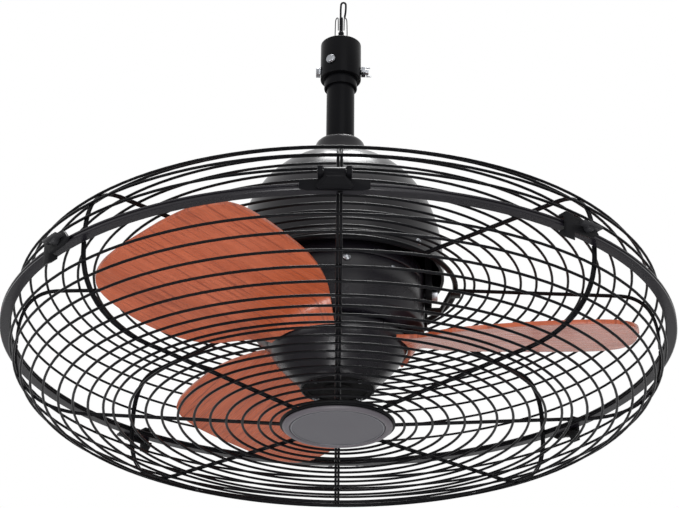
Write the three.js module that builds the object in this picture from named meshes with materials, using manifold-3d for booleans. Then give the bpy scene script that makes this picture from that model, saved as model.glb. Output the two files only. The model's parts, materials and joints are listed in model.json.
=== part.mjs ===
// Orbital ceiling fan: a caged three-blade fan head that hangs on a down rod, tilts on a
// yoke and is carried round in a circle by a small gear motor inside the bell.
// Millimetres, +Z up. The origin is the middle of the coupling's top edge, where the fan
// hangs. Inside the "fan" group heights are counted from the guard band's middle plane.
import * as THREE from "three";
import { mergeVertices } from "three/addons/utils/BufferGeometryUtils.js";
import Module from "manifold-3d";

const wasm = await Module();
wasm.setup();

// ---------------------------------------------------------------- driving dimensions
const GAP = 0.3; // between pieces that touch
const HANG = 320; // coupling's top edge above the guard band's middle plane

const ROD_R = 13.35;
const ROD_WALL = 2.9;
const COUPLING_R = 19.5;
const COUPLING_LENGTH = 40;
const ROD_IN_COUPLING = 18;
const COLLAR_R = 15.8;
const COLLAR_LENGTH = 10;
const BOLT_R = 2.9; // cross bolt of the coupling
const BOLT_LIFT = 10; // its height above the coupling's lower edge
const BOLT_HEAD_R = 5.7;
const BOLT_HEAD_H = 4;
const BOLT_TAIL = 3; // thread beyond the nut
const SET_SCREW_AZIMUTH = 242;
const SET_SCREW_LIFT = 13.5;
const SET_SCREW_R = 2.4;
const SET_SCREW_HEAD_R = 4.8;

const BELL_CLEAR = 9.4; // yoke's ears to the bell's wall, at the rim
const BELL_RIM_Z = 66;
const BELL_DOME_H = 126;
const BELL_WALL = 2.4;
const BELL_NECK_H = 17.6; // neck above the dome
const BELL_NECK_R = 21.6;
const BELL_NECK_FOOT_R = 25.6;
const BELL_NECK_ROOF = 6.6;

const HANGER_R = 20.5;
const ROD_IN_HANGER = 22;
const LIP = 4; // ledges that stop the rod and the bearing
const PLATE_DROP = 49; // gear plate's top below the dome's crown
const PLATE_THICK = 5;
const CUP_WALL = 5;
const CUP_H = 14;
const ORBIT_BEARING_R = 17;
const ORBIT_BEARING_H = 12;
const SPINDLE_R = 9.7;
const SPINDLE_BORE_R = 6;
const SPINDLE_NUT_R = 12.4;
const SPINDLE_NUT_H = 6;

const GEAR_MODULE = 2;
const GEAR_TEETH = 36;
const PINION_TEETH = 9;
const GEAR_H = 6.3;
const GEAR_DROP = 5.4; // gear's top below the gear plate
const PINION_SHAFT_R = 2.6;
const GEAR_MOTOR_R = 20;
const GEAR_MOTOR_H = 15.5;

const YOKE_BOSS_R = 20;
const YOKE_BOSS_H = 12;
const YOKE_THICK = 6;
const EAR_R = 14; // half the yoke's width, and the round end of its ears
const EAR_CLEAR = 0.8; // ear to motor
const PIVOT_Z = 51.5;
const PIVOT_R = 4;
const PIVOT_HEAD_R = 6.4;
const PIVOT_HEAD_H = 5.2;
const PIVOT_NUT_H = 6;
const PIVOT_TAIL = 1; // thread beyond the nut
const PIVOT_NUT_GAP = 1.2; // nut to the can's wall

const CAN_R = 77.4;
const CAN_WALL = 2.5;
const CAN_FLOOR_Z = 7;
const CAN_CHAMFER = 6; // height of the chamfer under the can
const CAN_CHAMFER_REACH = 11.4;
const CAN_TOP_Z = 57.2;
const COVER_H = 26.5;
const COVER_SIDE = 8.5; // straight side below the cover's shoulder
const COVER_EDGE = 16.4; // from the can's side in to the cover's flat top
const SHAFT_R = 8;
const SHAFT_TAIL_R = 5;
const BEARING_R = 13;
const BEARING_H = 10;
const BEARING_SEAT_WALL = 4;
const STATOR_H = 19;
const STATOR_LIFT = 14.5; // stator's underside above the can's floor plate
const STATOR_BORE_R = 40;
const WINDING_IN_R = 44;
const WINDING_CLEAR = 2.7; // pivot bolts' ends to the windings
const WINDING_H = 8;

const HUB_R = 62.6;
const HUB_GAP = 2.8; // hub's top below the can's floor
const HUB_DEPTH = 42; // hub's bottom below the band's middle plane
const HUB_FOOT_R = 33.5;
const HUB_RECESS_R = 31.4;
const HUB_CAP_THICK = 2.6;
const HUB_RECESS = 3.3;
const HUB_NUT_R = 9;
const HUB_NUT_H = 5.6;

const BLADE_COUNT = 3;
const BLADE_AZIMUTH = -5; // of the first blade
const BLADE_TIP_CLEAR = 22.5; // blade tips to the guards' rim
const BLADE_WIDTH = 150;
const BLADE_ROOT_ROUND = 4.5;
const BLADE_THICK = 3.6;
const BLADE_RISE = 1; // height of the blade's middle line
const BLADE_ANGLE_ROOT = 17; // pitch, in degrees
const BLADE_ANGLE_TIP = 14;
const BLADE_CUFF_Z = -8; // where the blade's root meets the hub
const BLADE_CUFF_GAP = 1.1; // root's edge to the hub's side
const BLADE_CUFF_ANGLE = 32; // half the angle that the root covers on the hub

const BAND_R = 300;
const BAND_DEPTH = 9.2; // radial width of the channel
const BAND_H = 11;
const BAND_SHEET = 1.8;
const BAND_SPLIT = 4; // gap between the band's ends, under the buckle

const WIRE = 2.4;
const RIB_WIDTH = 5.4; // two wires side by side
const RIB_COUNT = 8;
const WELD = 0.35; // depth that a ring sinks into a rib
const RING_PITCH = 14.1;
const EDGE_RING = 3;
const RIM_CLEAR = 1.1; // ribs to the channel's lips
const LOWER_DEPTH = 74.5;
const LOWER_RISE = 7; // how much the floor rises from its middle to the knee
const LOWER_BEND_REACH = 48.5; // from the rim in to the knee
const LOWER_BEND_EXPONENT = 1.9; // of the bend's curve: 2 is an ellipse, more is squarer
const LOWER_INNER_R = 50;
const LOWER_FIRST_RING_R = 69.4;
const UPPER_HEIGHT = 57;
const UPPER_FALL = 4;
const UPPER_BEND_REACH = 40.5;
const UPPER_BEND_EXPONENT = 2.6;
const UPPER_INNER_R = 106;
const UPPER_INNER_WIRE = 5;
const UPPER_FIRST_RING_R = 136.9;

const BADGE_R = 48.7;
const BADGE_DISC_R = 41.9;
const BADGE_H = 8;
const BADGE_LIP = 0.8; // how far the rim stands below the disc

const BRACKET_WIDTH = 12;
const BRACKET_SHEET = 2.5;
const BRACKET_FOOT_H = 16;

const BUCKLE_AZIMUTH = 269.3;
const BUCKLE_WIDTH = 26;
const BUCKLE_STRAP = 54;
const LEVER_DROP = 13;
const LEVER_THICK = 1.8;
const CLIP_AZIMUTHS = [39, 130, 219, 306.5];
const CLIP_WIDTH = 9;
const CLIP_BODY = 24;
const CLIP_WALL = 3;

const LEAD_BUSH_R = 4.3;
const LEAD_BUSH_RISE = 15; // above the coupling's top edge
const LEAD_BUNDLE_R = 1.8;
const LEAD_BUNDLE_H = 17;
const LEAD_R = 1;
const LEAD_LOOP_H = 19;
const THIN_LEAD_R = 0.5;

const ROUND = 24; // facets round a turned piece
const SMALL_ROUND = 10;

// ---------------------------------------------------------------- shape helpers
const radians = (degrees) => (degrees * Math.PI) / 180;

// A closed mesh with shared vertices, no empty triangles, and faces that point outwards.
function closed(geometry) {
  const plain = geometry.clone();
  for (const name of Object.keys(plain.attributes)) {
    if (name !== "position") plain.deleteAttribute(name);
  }
  const merged = mergeVertices(plain, 1e-3);
  const place = merged.attributes.position;
  const corners = [];
  let volume = 0;
  const [a, b, c] = [new THREE.Vector3(), new THREE.Vector3(), new THREE.Vector3()];
  for (let i = 0; i < merged.index.count; i += 3) {
    const [p, q, r] = [0, 1, 2].map((k) => merged.index.getX(i + k));
    if (p === q || q === r || r === p) continue;
    corners.push(p, q, r);
    a.fromBufferAttribute(place, p);
    b.fromBufferAttribute(place, q);
    c.fromBufferAttribute(place, r);
    volume += a.dot(b.cross(c));
  }
  if (volume < 0) corners.reverse();
  merged.setIndex(corners);
  return merged;
}

function toSolid(geometry) {
  const mesh = closed(geometry);
  return new wasm.Manifold(
    new wasm.Mesh({
      numProp: 3,
      vertProperties: new Float32Array(mesh.attributes.position.array),
      triVerts: new Uint32Array(mesh.index.array),
    })
  );
}

function toGeometry(solid) {
  const mesh = solid.getMesh();
  const geometry = new THREE.BufferGeometry();
  geometry.setAttribute("position", new THREE.BufferAttribute(mesh.vertProperties, 3));
  geometry.setIndex(Array.from(mesh.triVerts));
  return geometry;
}

const join = (...pieces) => toGeometry(pieces.map(toSolid).reduce((a, b) => a.add(b)));
const cut = (body, ...tools) => toGeometry(tools.map(toSolid).reduce((a, b) => a.subtract(b), toSolid(body)));

// A body turned about Z from [radius, height] points. A ring's profile closes on itself.
function turned(profile, facets = ROUND) {
  const points = profile.map(([r, z]) => new THREE.Vector2(r, z));
  return new THREE.LatheGeometry(points, facets).rotateX(Math.PI / 2);
}

const ring = (profile, facets = ROUND) => turned([...profile, profile[0]], facets);

function tube(inner, outer, bottom, top, facets = ROUND) {
  return ring([[inner, bottom], [outer, bottom], [outer, top], [inner, top]], facets);
}

function rod(radius, bottom, top, facets = SMALL_ROUND) {
  return turned([[0, bottom], [radius, bottom], [radius, top], [0, top]], facets);
}

// A flat outline given thickness along Z, from z = 0.
function prism(outline, thickness, holes = []) {
  const shape = new THREE.Shape(outline.map(([x, y]) => new THREE.Vector2(x, y)));
  shape.holes = holes;
  return new THREE.ExtrudeGeometry(shape, { depth: thickness, bevelEnabled: false, curveSegments: 8 });
}

function regular(sides, radius) {
  return Array.from({ length: sides }, (_, i) => {
    const angle = (2 * Math.PI * i) / sides;
    return [radius * Math.cos(angle), radius * Math.sin(angle)];
  });
}

function roundHole(radius, facets = 16) {
  return new THREE.Path(regular(facets, radius).reverse().map(([x, y]) => new THREE.Vector2(x, y)));
}

function hexNut(bore, radius, bottom, top) {
  return prism(regular(6, radius), top - bottom, [roundHole(bore)]).translate(0, 0, bottom);
}

function box(x0, x1, y0, y1, z0, z1) {
  return new THREE.BoxGeometry(x1 - x0, y1 - y0, z1 - z0).translate((x0 + x1) / 2, (y0 + y1) / 2, (z0 + z1) / 2);
}

// The outline of a sheet or wire of even thickness that follows the points.
function strip(points, thickness) {
  const sides = [[], []];
  points.forEach((point, i) => {
    const before = points[Math.max(i - 1, 0)];
    const after = points[Math.min(i + 1, points.length - 1)];
    const into = point.clone().sub(before);
    const out = after.clone().sub(point);
    if (into.length() === 0) into.copy(out);
    if (out.length() === 0) out.copy(into);
    into.normalize();
    out.normalize();
    const along = into.clone().add(out).normalize();
    const reach = thickness / 2 / Math.max(along.dot(into), 0.5);
    const across = new THREE.Vector2(-along.y, along.x).multiplyScalar(reach);
    sides[0].push(point.clone().add(across));
    sides[1].push(point.clone().sub(across));
  });
  return [...sides[0], ...sides[1].reverse()].map((p) => [p.x, p.y]);
}

// An outline in the radius-height plane, given a width across that plane.
function radialPlate(outline, width) {
  return prism(outline, width).translate(0, 0, -width / 2).rotateX(Math.PI / 2);
}

// A round bar along a curve. The section has as many sides as asked.
function wire(points, radius, sides, steps) {
  const section = new THREE.Shape(regular(sides, radius).map(([x, y]) => new THREE.Vector2(x, y)));
  const path = new THREE.CatmullRomCurve3(points.map(([x, y, z]) => new THREE.Vector3(x, y, z)));
  return new THREE.ExtrudeGeometry(section, { extrudePath: path, steps, bevelEnabled: false });
}

const alongX = (geometry) => geometry.rotateY(Math.PI / 2);

// ---------------------------------------------------------------- materials
const paint = (color, roughness, metalness) => new THREE.MeshStandardMaterial({ color, roughness, metalness });
const blackEnamel = paint(0x1b1a1e, 0.42, 0.35);
const bronzeEnamel = paint(0x211f24, 0.3, 0.6);
const blackPlastic = paint(0x18171a, 0.5, 0);
const zinc = paint(0xb9bcc2, 0.32, 0.9);
const steel = paint(0x8e9299, 0.4, 0.85);
const brass = paint(0xb08d4a, 0.4, 0.8);
const copper = paint(0x9c5a3c, 0.5, 0.6);
const cherry = paint(0xb2563c, 0.45, 0);
const badgeGrey = paint(0x5f5b62, 0.45, 0.2);
const paleBush = paint(0xd6d4cf, 0.6, 0);
const leadSheath = paint(0x2a2a2e, 0.55, 0);

// ---------------------------------------------------------------- scene graph
const assembly = new THREE.Group();
const fan = new THREE.Group();
fan.position.z = -HANG;
assembly.add(fan);
const hanger = new THREE.Group();
const orbit = new THREE.Group();
const head = new THREE.Group();
const rotor = new THREE.Group();
fan.add(hanger, orbit, head, rotor);

function piece(name, geometry, material, parent, place = {}) {
  const mesh = new THREE.Mesh(closed(geometry), material);
  mesh.name = name;
  mesh.position.set(place.x ?? 0, place.y ?? 0, place.z ?? 0);
  mesh.rotation.z = radians(place.azimuth ?? 0);
  parent.add(mesh);
  return mesh;
}

// ---------------------------------------------------------------- heights
const couplingBottom = HANG - COUPLING_LENGTH;
const rodTop = couplingBottom + ROD_IN_COUPLING;
const boltZ = couplingBottom + BOLT_LIFT;
const bellTop = BELL_RIM_Z + BELL_DOME_H;
const neckTop = bellTop + BELL_NECK_H;
const neckSeat = neckTop - BELL_NECK_ROOF;
const hangerTop = neckSeat - GAP;
const rodBottom = hangerTop - ROD_IN_HANGER;
const plateTop = bellTop - PLATE_DROP;
const plateBottom = plateTop - PLATE_THICK;
const cupTop = plateTop + CUP_H;
const orbitBearingBottom = plateBottom + LIP + GAP;
const orbitBearingTop = orbitBearingBottom + ORBIT_BEARING_H;
const gearTop = plateBottom - GEAR_DROP;
const gearBottom = gearTop - GEAR_H;
const bossTop = gearBottom - GAP;
const bridgeTop = bossTop - YOKE_BOSS_H;
const bridgeBottom = bridgeTop - YOKE_THICK;
const coverBottom = CAN_TOP_Z + GAP;
const coverTop = coverBottom + COVER_H;
const canFloorTop = CAN_FLOOR_Z + CAN_WALL;
const statorBottom = canFloorTop + STATOR_LIFT;
const statorTop = statorBottom + STATOR_H;
const hubTop = CAN_FLOOR_Z - HUB_GAP;
const recessTop = -HUB_DEPTH + HUB_RECESS;

// ---------------------------------------------------------------- radii
const earInner = CAN_R + EAR_CLEAR;
const earOuter = earInner + YOKE_THICK;
const bellR = earOuter + BELL_CLEAR + BELL_WALL;
const nutFace = CAN_R - CAN_WALL - PIVOT_NUT_GAP;
const pivotEnd = nutFace - PIVOT_NUT_H - PIVOT_TAIL;
const canFloorR = CAN_R - CAN_CHAMFER_REACH;
const coverFlatR = CAN_R - COVER_EDGE;
const windingOuterR = pivotEnd - WINDING_CLEAR;
const guardRimR = BAND_R - BAND_DEPTH - RIM_CLEAR - WIRE / 2;
const bladeTipR = guardRimR - BLADE_TIP_CLEAR;

// ---------------------------------------------------------------- coupling and rod
const boltHole = () => alongX(rod(BOLT_R + GAP, -2 * COUPLING_R, 2 * COUPLING_R)).translate(0, 0, boltZ);
const setScrewZ = couplingBottom + SET_SCREW_LIFT;

// A piece that lies along a radius: built along X, then turned to its azimuth.
const setScrewHole = alongX(rod(SET_SCREW_R + GAP, ROD_R + 0.1, 2 * COUPLING_R))
  .translate(0, 0, setScrewZ)
  .rotateZ(radians(SET_SCREW_AZIMUTH));

piece(
  "coupling",
  cut(tube(ROD_R + GAP, COUPLING_R, couplingBottom, HANG), boltHole(), setScrewHole),
  blackEnamel,
  hanger
);
piece("down_rod", cut(tube(ROD_R - ROD_WALL, ROD_R, rodBottom, rodTop), boltHole()), blackEnamel, hanger);
piece(
  "rod_collar",
  tube(ROD_R + GAP, COLLAR_R, couplingBottom - GAP - COLLAR_LENGTH, couplingBottom - GAP),
  blackEnamel,
  hanger
);

const boltSeat = COUPLING_R + GAP;
const nutEnd = boltSeat + BOLT_HEAD_H;
piece(
  "coupling_bolt",
  join(
    alongX(rod(BOLT_HEAD_R, -boltSeat - BOLT_HEAD_H, -boltSeat, 6)),
    cut(
      alongX(rod(BOLT_R, -boltSeat - 0.5, nutEnd + BOLT_TAIL)),
      rod(0.9, -BOLT_HEAD_R, BOLT_HEAD_R, 8).translate(nutEnd + BOLT_TAIL / 2, 0, 0)
    )
  ),
  zinc,
  hanger,
  { z: boltZ }
);
piece("coupling_nut", alongX(hexNut(BOLT_R + GAP, BOLT_HEAD_R, boltSeat, nutEnd)), zinc, hanger, { z: boltZ });
piece(
  "split_pin",
  join(
    rod(0.6, -5.5, 5, 8),
    alongX(rod(0.6, -0.3, 4, 8)).translate(0, 0, -5),
    alongX(rod(0.6, -0.3, 3, 8)).translate(0, 0, 4.5)
  ),
  zinc,
  hanger,
  { x: nutEnd + BOLT_TAIL / 2, z: boltZ }
);
piece(
  "set_screw",
  join(
    alongX(turned([
      [0, boltSeat],
      [SET_SCREW_HEAD_R, boltSeat],
      [SET_SCREW_HEAD_R, boltSeat + 1.4],
      [SET_SCREW_HEAD_R * 0.72, boltSeat + 3],
      [0, boltSeat + 3.3],
    ], SMALL_ROUND)),
    alongX(rod(SET_SCREW_R, ROD_R + GAP, boltSeat + 0.5))
  ),
  zinc,
  hanger,
  { z: setScrewZ, azimuth: SET_SCREW_AZIMUTH }
);

// ---------------------------------------------------------------- supply leads
const bushFoot = rodTop + GAP;
const bushTop = HANG + LEAD_BUSH_RISE;
piece(
  "lead_bush",
  turned([
    [0, bushFoot],
    [ROD_R - 0.4, bushFoot],
    [ROD_R - 0.4, bushFoot + 3],
    [LEAD_BUSH_R, bushFoot + 5],
    [LEAD_BUSH_R, bushTop],
    [0, bushTop],
  ], SMALL_ROUND),
  paleBush,
  hanger
);
const bundleBottom = bushTop + GAP;
const bundleTop = bundleBottom + LEAD_BUNDLE_H;
piece("lead_bundle", rod(LEAD_BUNDLE_R, bundleBottom, bundleTop, 8), leadSheath, hanger);

// One lead rises from the bundle, folds over and comes down beside it.
const loopFoot = bundleTop + GAP;
piece(
  "lead_loop",
  wire(
    [
      [-0.6, 0, loopFoot],
      [-0.6, 0, loopFoot + 6],
      [-0.5, 0, loopFoot + 12],
      [0, 0, loopFoot + LEAD_LOOP_H - 2.6],
      [2, 0, loopFoot + LEAD_LOOP_H - LEAD_R],
      [4.1, 0, loopFoot + LEAD_LOOP_H - 2.6],
      [4.4, 0, loopFoot + 12],
      [4.1, 0, loopFoot + 6],
      [3.3, 0, loopFoot + 0.5],
    ],
    LEAD_R,
    6,
    12
  ),
  leadSheath,
  hanger
);

const thinFoot = bushFoot + 5 + GAP;
const thinTop = bushTop + LEAD_BUNDLE_H;
function thinLead(side) {
  return wire(
    [
      [6 * side, 0, thinFoot],
      [6 * side, 0, HANG],
      [5.6 * side, 0, thinTop - 6],
      [4.9 * side, 0, thinTop - 1],
      [3.8 * side, 0, thinTop + 0.4],
      [3 * side, 0, thinTop - 1.5],
      [2.8 * side, 0, bushTop + 3],
    ],
    THIN_LEAD_R,
    6,
    12
  );
}
piece("earth_lead_left", thinLead(-1), leadSheath, hanger);
piece("earth_lead_right", thinLead(1), leadSheath, hanger);

// ---------------------------------------------------------------- bell housing
// Radius of the dome at a height above its rim, for the outside or the inside.
function domeRadius(z, wall = 0) {
  const share = Math.min((z - BELL_RIM_Z) / (BELL_DOME_H - wall), 1);
  return (bellR - wall) * (1 - share ** 2.4) ** (1 / 2.2);
}

// Height at which the dome has a given radius.
function domeHeight(radius, wall = 0) {
  const share = (1 - (radius / (bellR - wall)) ** 2.2) ** (1 / 2.4);
  return BELL_RIM_Z + share * (BELL_DOME_H - wall);
}

function domeProfile(smallRadius, wall, heights) {
  const top = domeHeight(smallRadius, wall);
  const points = heights.filter((z) => z < top - 2).map((z) => [domeRadius(z, wall), z]);
  return [...points, [smallRadius, top]];
}

const domeHeights = [0, 0.2, 0.38, 0.54, 0.68, 0.8, 0.88, 0.94].map((share) => BELL_RIM_Z + share * BELL_DOME_H);
const innerHeights = [
  BELL_RIM_Z,
  BELL_RIM_Z + 0.32 * BELL_DOME_H,
  plateTop,
  cupTop + LIP,
  bellTop - 0.175 * BELL_DOME_H,
  bellTop - 0.095 * BELL_DOME_H,
];
const neckBore = BELL_NECK_R;
piece(
  "bell_housing",
  ring([
    ...domeProfile(BELL_NECK_FOOT_R + 2, 0, domeHeights),
    [BELL_NECK_FOOT_R, bellTop + 0.2 * BELL_NECK_H],
    [BELL_NECK_R + 2.2, bellTop + 0.62 * BELL_NECK_H],
    [BELL_NECK_R, neckTop - 1],
    [BELL_NECK_R - 1, neckTop],
    [ROD_R + GAP, neckTop],
    [ROD_R + GAP, neckSeat],
    [neckBore - 0.4, neckSeat],
    ...domeProfile(neckBore, BELL_WALL, innerHeights).reverse(),
  ]),
  bronzeEnamel,
  hanger
);

// ---------------------------------------------------------------- inside the bell
const lipTop = rodBottom - GAP;
piece(
  "hanger_neck",
  ring([
    [ROD_R + 1.65, cupTop + GAP],
    [ORBIT_BEARING_R + GAP + CUP_WALL, cupTop + GAP],
    [ORBIT_BEARING_R + GAP + CUP_WALL, cupTop + GAP + LIP],
    [HANGER_R, cupTop + GAP + LIP + 3],
    [HANGER_R, hangerTop],
    [ROD_R + GAP, hangerTop],
    [ROD_R + GAP, lipTop],
    [ROD_R - ROD_WALL, lipTop],
    [ROD_R - ROD_WALL, lipTop - LIP],
    [ROD_R + 1.65, lipTop - LIP],
  ]),
  steel,
  hanger
);

const gearPitchR = (GEAR_MODULE * GEAR_TEETH) / 2;
const pinionPitchR = (GEAR_MODULE * PINION_TEETH) / 2;
const gearCentres = gearPitchR + pinionPitchR;
const plateR = domeRadius(plateTop, BELL_WALL) - GAP;
piece(
  "gear_plate",
  cut(
    ring([
      [ORBIT_BEARING_R - 3.5, plateBottom],
      [plateR, plateBottom],
      [plateR, plateTop],
      [ORBIT_BEARING_R + GAP + CUP_WALL, plateTop],
      [ORBIT_BEARING_R + GAP + CUP_WALL, cupTop],
      [ORBIT_BEARING_R + GAP, cupTop],
      [ORBIT_BEARING_R + GAP, plateBottom + LIP],
      [ORBIT_BEARING_R - 3.5, plateBottom + LIP],
    ]),
    rod(PINION_SHAFT_R + 0.6, plateBottom - 1, plateTop + 1).translate(0, gearCentres, 0)
  ),
  steel,
  hanger
);
piece(
  "orbit_bearing",
  tube(SPINDLE_R + GAP, ORBIT_BEARING_R, orbitBearingBottom, orbitBearingTop, 24),
  steel,
  hanger
);

const motorBottom = plateTop + GAP;
const pinionShaftTop = motorBottom + 6;
piece(
  "gear_motor",
  turned([
    [0, pinionShaftTop + GAP],
    [PINION_SHAFT_R + GAP, pinionShaftTop + GAP],
    [PINION_SHAFT_R + GAP, motorBottom],
    [GEAR_MOTOR_R, motorBottom],
    [GEAR_MOTOR_R, motorBottom + GEAR_MOTOR_H - 2],
    [GEAR_MOTOR_R - 2, motorBottom + GEAR_MOTOR_H],
    [0, motorBottom + GEAR_MOTOR_H],
  ], 20),
  zinc,
  hanger,
  { y: gearCentres }
);

// ---------------------------------------------------------------- orbit drive
// A spur gear's outline: straight-sided teeth, one centred on the given azimuth.
function gearOutline(teeth, firstAzimuth, rootHalf, tipHalf) {
  const pitchR = (GEAR_MODULE * teeth) / 2;
  const [rootR, tipR] = [pitchR - 1.2 * GEAR_MODULE, pitchR + 0.9 * GEAR_MODULE];
  const outline = [];
  for (let i = 0; i < teeth; i += 1) {
    const middle = radians(firstAzimuth) + (2 * Math.PI * i) / teeth;
    for (const [r, half] of [[rootR, -rootHalf], [tipR, -tipHalf], [tipR, tipHalf], [rootR, rootHalf]]) {
      const angle = middle + half / r;
      outline.push([r * Math.cos(angle), r * Math.sin(angle)]);
    }
  }
  return outline;
}

piece(
  "orbit_gear",
  prism(
    gearOutline(GEAR_TEETH, 90, 0.88 * GEAR_MODULE, 0.38 * GEAR_MODULE),
    GEAR_H,
    [roundHole(SPINDLE_R + 2 * GAP)]
  ),
  brass,
  orbit,
  { z: gearBottom }
);
piece(
  "drive_pinion",
  join(
    prism(
      gearOutline(PINION_TEETH, 270 + 180 / PINION_TEETH, 0.5 * GEAR_MODULE, 0.36 * GEAR_MODULE),
      GEAR_H
    ).translate(0, 0, gearBottom),
    rod(PINION_SHAFT_R, gearTop - 1, pinionShaftTop, 12)
  ),
  brass,
  orbit,
  { y: gearCentres }
);

const upperNutBottom = orbitBearingTop + GAP;
const lowerNutTop = bridgeBottom - GAP;
piece(
  "orbit_spindle",
  ring([
    [SPINDLE_BORE_R, lowerNutTop - SPINDLE_NUT_H - 1.5],
    [SPINDLE_R, lowerNutTop - SPINDLE_NUT_H - 1.5],
    [SPINDLE_R, gearTop + GAP],
    [ORBIT_BEARING_R - 4.5, gearTop + GAP],
    [ORBIT_BEARING_R - 4.5, orbitBearingBottom - GAP],
    [SPINDLE_R, orbitBearingBottom - GAP],
    [SPINDLE_R, upperNutBottom + SPINDLE_NUT_H + 1.5],
    [SPINDLE_BORE_R, upperNutBottom + SPINDLE_NUT_H + 1.5],
  ]),
  steel,
  orbit
);
piece(
  "spindle_nut_upper",
  hexNut(SPINDLE_R + 2 * GAP, SPINDLE_NUT_R, upperNutBottom, upperNutBottom + SPINDLE_NUT_H),
  zinc,
  orbit
);
piece(
  "spindle_nut_lower",
  hexNut(SPINDLE_R + 2 * GAP, SPINDLE_NUT_R + 1, lowerNutTop - SPINDLE_NUT_H, lowerNutTop),
  zinc,
  orbit
);

// ---------------------------------------------------------------- yoke and pivots
// One ear: straight sides, a round end about the pivot and a hole for its bolt.
function ear(side) {
  const steps = 10;
  const outline = [[EAR_R, bridgeTop]];
  for (let i = 0; i <= steps; i += 1) {
    const angle = -(Math.PI * i) / steps;
    outline.push([EAR_R * Math.cos(angle), PIVOT_Z + EAR_R * Math.sin(angle)]);
  }
  outline.push([-EAR_R, bridgeTop]);
  const plate = prism(outline, YOKE_THICK).rotateX(Math.PI / 2).rotateZ(Math.PI / 2);
  const hole = alongX(rod(PIVOT_R + GAP, 0, 2 * CAN_R)).translate(0, 0, PIVOT_Z);
  return cut(plate.translate(earInner, 0, 0), hole).rotateZ(side > 0 ? 0 : Math.PI);
}

piece(
  "yoke",
  cut(
    join(
      box(-earOuter, earOuter, -EAR_R, EAR_R, bridgeBottom, bridgeTop),
      ear(1),
      ear(-1),
      rod(YOKE_BOSS_R, bridgeBottom, bossTop, 24)
    ),
    rod(SPINDLE_R + GAP, bridgeBottom - 1, bossTop + 1, 24)
  ),
  blackEnamel,
  orbit
);

for (const [side, azimuth] of [["right", 0], ["left", 180]]) {
  piece(
    `pivot_bolt_${side}`,
    join(
      alongX(rod(PIVOT_HEAD_R, earOuter + GAP, earOuter + GAP + PIVOT_HEAD_H, 6)),
      alongX(rod(PIVOT_R, pivotEnd, earOuter + GAP + 0.5))
    ),
    zinc,
    head,
    { z: PIVOT_Z, azimuth }
  );
  piece(
    `pivot_nut_${side}`,
    alongX(hexNut(PIVOT_R + GAP, PIVOT_HEAD_R, nutFace - PIVOT_NUT_H, nutFace)),
    zinc,
    head,
    { z: PIVOT_Z, azimuth }
  );
}

// ---------------------------------------------------------------- motor
const seatR = BEARING_R + GAP;
const seatOuterR = seatR + BEARING_SEAT_WALL;
const shaftClearR = SHAFT_R + 1.5;
const pivotHoles = alongX(rod(PIVOT_R + GAP, -2 * CAN_R, 2 * CAN_R)).translate(0, 0, PIVOT_Z);
piece(
  "motor_can",
  cut(
    ring([
      [shaftClearR, CAN_FLOOR_Z],
      [canFloorR, CAN_FLOOR_Z],
      [CAN_R, CAN_FLOOR_Z + CAN_CHAMFER],
      [CAN_R, CAN_TOP_Z],
      [CAN_R - CAN_WALL, CAN_TOP_Z],
      [CAN_R - CAN_WALL, CAN_FLOOR_Z + CAN_CHAMFER + 1.4],
      [canFloorR - 0.8, canFloorTop],
      [seatOuterR, canFloorTop],
      [seatOuterR, canFloorTop + BEARING_H + 1.5],
      [seatR, canFloorTop + BEARING_H + 1.5],
      [seatR, canFloorTop],
      [shaftClearR, canFloorTop],
    ]),
    pivotHoles
  ),
  blackEnamel,
  head
);

const coverFlat = coverTop - CAN_WALL;
const shoulder = (coverTop - coverBottom - COVER_SIDE) / 3;
piece(
  "motor_top_cover",
  ring([
    [CAN_R - CAN_WALL, coverBottom],
    [CAN_R, coverBottom],
    [CAN_R, coverBottom + COVER_SIDE],
    [CAN_R - 2.4, coverBottom + COVER_SIDE + 1.2 * shoulder],
    [CAN_R - 8.4, coverTop - 0.65 * shoulder],
    [coverFlatR, coverTop],
    [SPINDLE_BORE_R - 1, coverTop],
    [SPINDLE_BORE_R - 1, coverFlat - 2.5],
    [seatR, coverFlat - 2.5],
    [seatR, coverFlat - 2.5 - BEARING_H - 1.5],
    [seatOuterR, coverFlat - 2.5 - BEARING_H - 1.5],
    [seatOuterR, coverFlat],
    [coverFlatR - 1, coverFlat],
    [CAN_R - 10.6, coverFlat - 0.65 * shoulder],
    [CAN_R - CAN_WALL - 2.3, coverBottom + COVER_SIDE + 1.1 * shoulder],
    [CAN_R - CAN_WALL, coverBottom + COVER_SIDE],
  ]),
  blackEnamel,
  head
);

piece(
  "stator",
  ring([
    [STATOR_BORE_R, statorBottom],
    [WINDING_IN_R, statorBottom],
    [WINDING_IN_R, statorBottom - WINDING_H],
    [windingOuterR, statorBottom - WINDING_H],
    [windingOuterR, statorBottom],
    [CAN_R - CAN_WALL - GAP, statorBottom],
    [CAN_R - CAN_WALL - GAP, statorTop],
    [windingOuterR, statorTop],
    [windingOuterR, statorTop + WINDING_H],
    [WINDING_IN_R, statorTop + WINDING_H],
    [WINDING_IN_R, statorTop],
    [STATOR_BORE_R, statorTop],
  ], ROUND),
  copper,
  head
);

const upperBearingTop = coverFlat - 2.5 - GAP;
const lowerBearingBottom = canFloorTop + GAP;
const shaftFitR = SHAFT_R + GAP;
piece(
  "bearing_upper",
  tube(shaftFitR, BEARING_R, upperBearingTop - BEARING_H, upperBearingTop, 20),
  steel,
  head
);
piece(
  "bearing_lower",
  tube(shaftFitR, BEARING_R, lowerBearingBottom, lowerBearingBottom + BEARING_H, 20),
  steel,
  head
);

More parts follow.
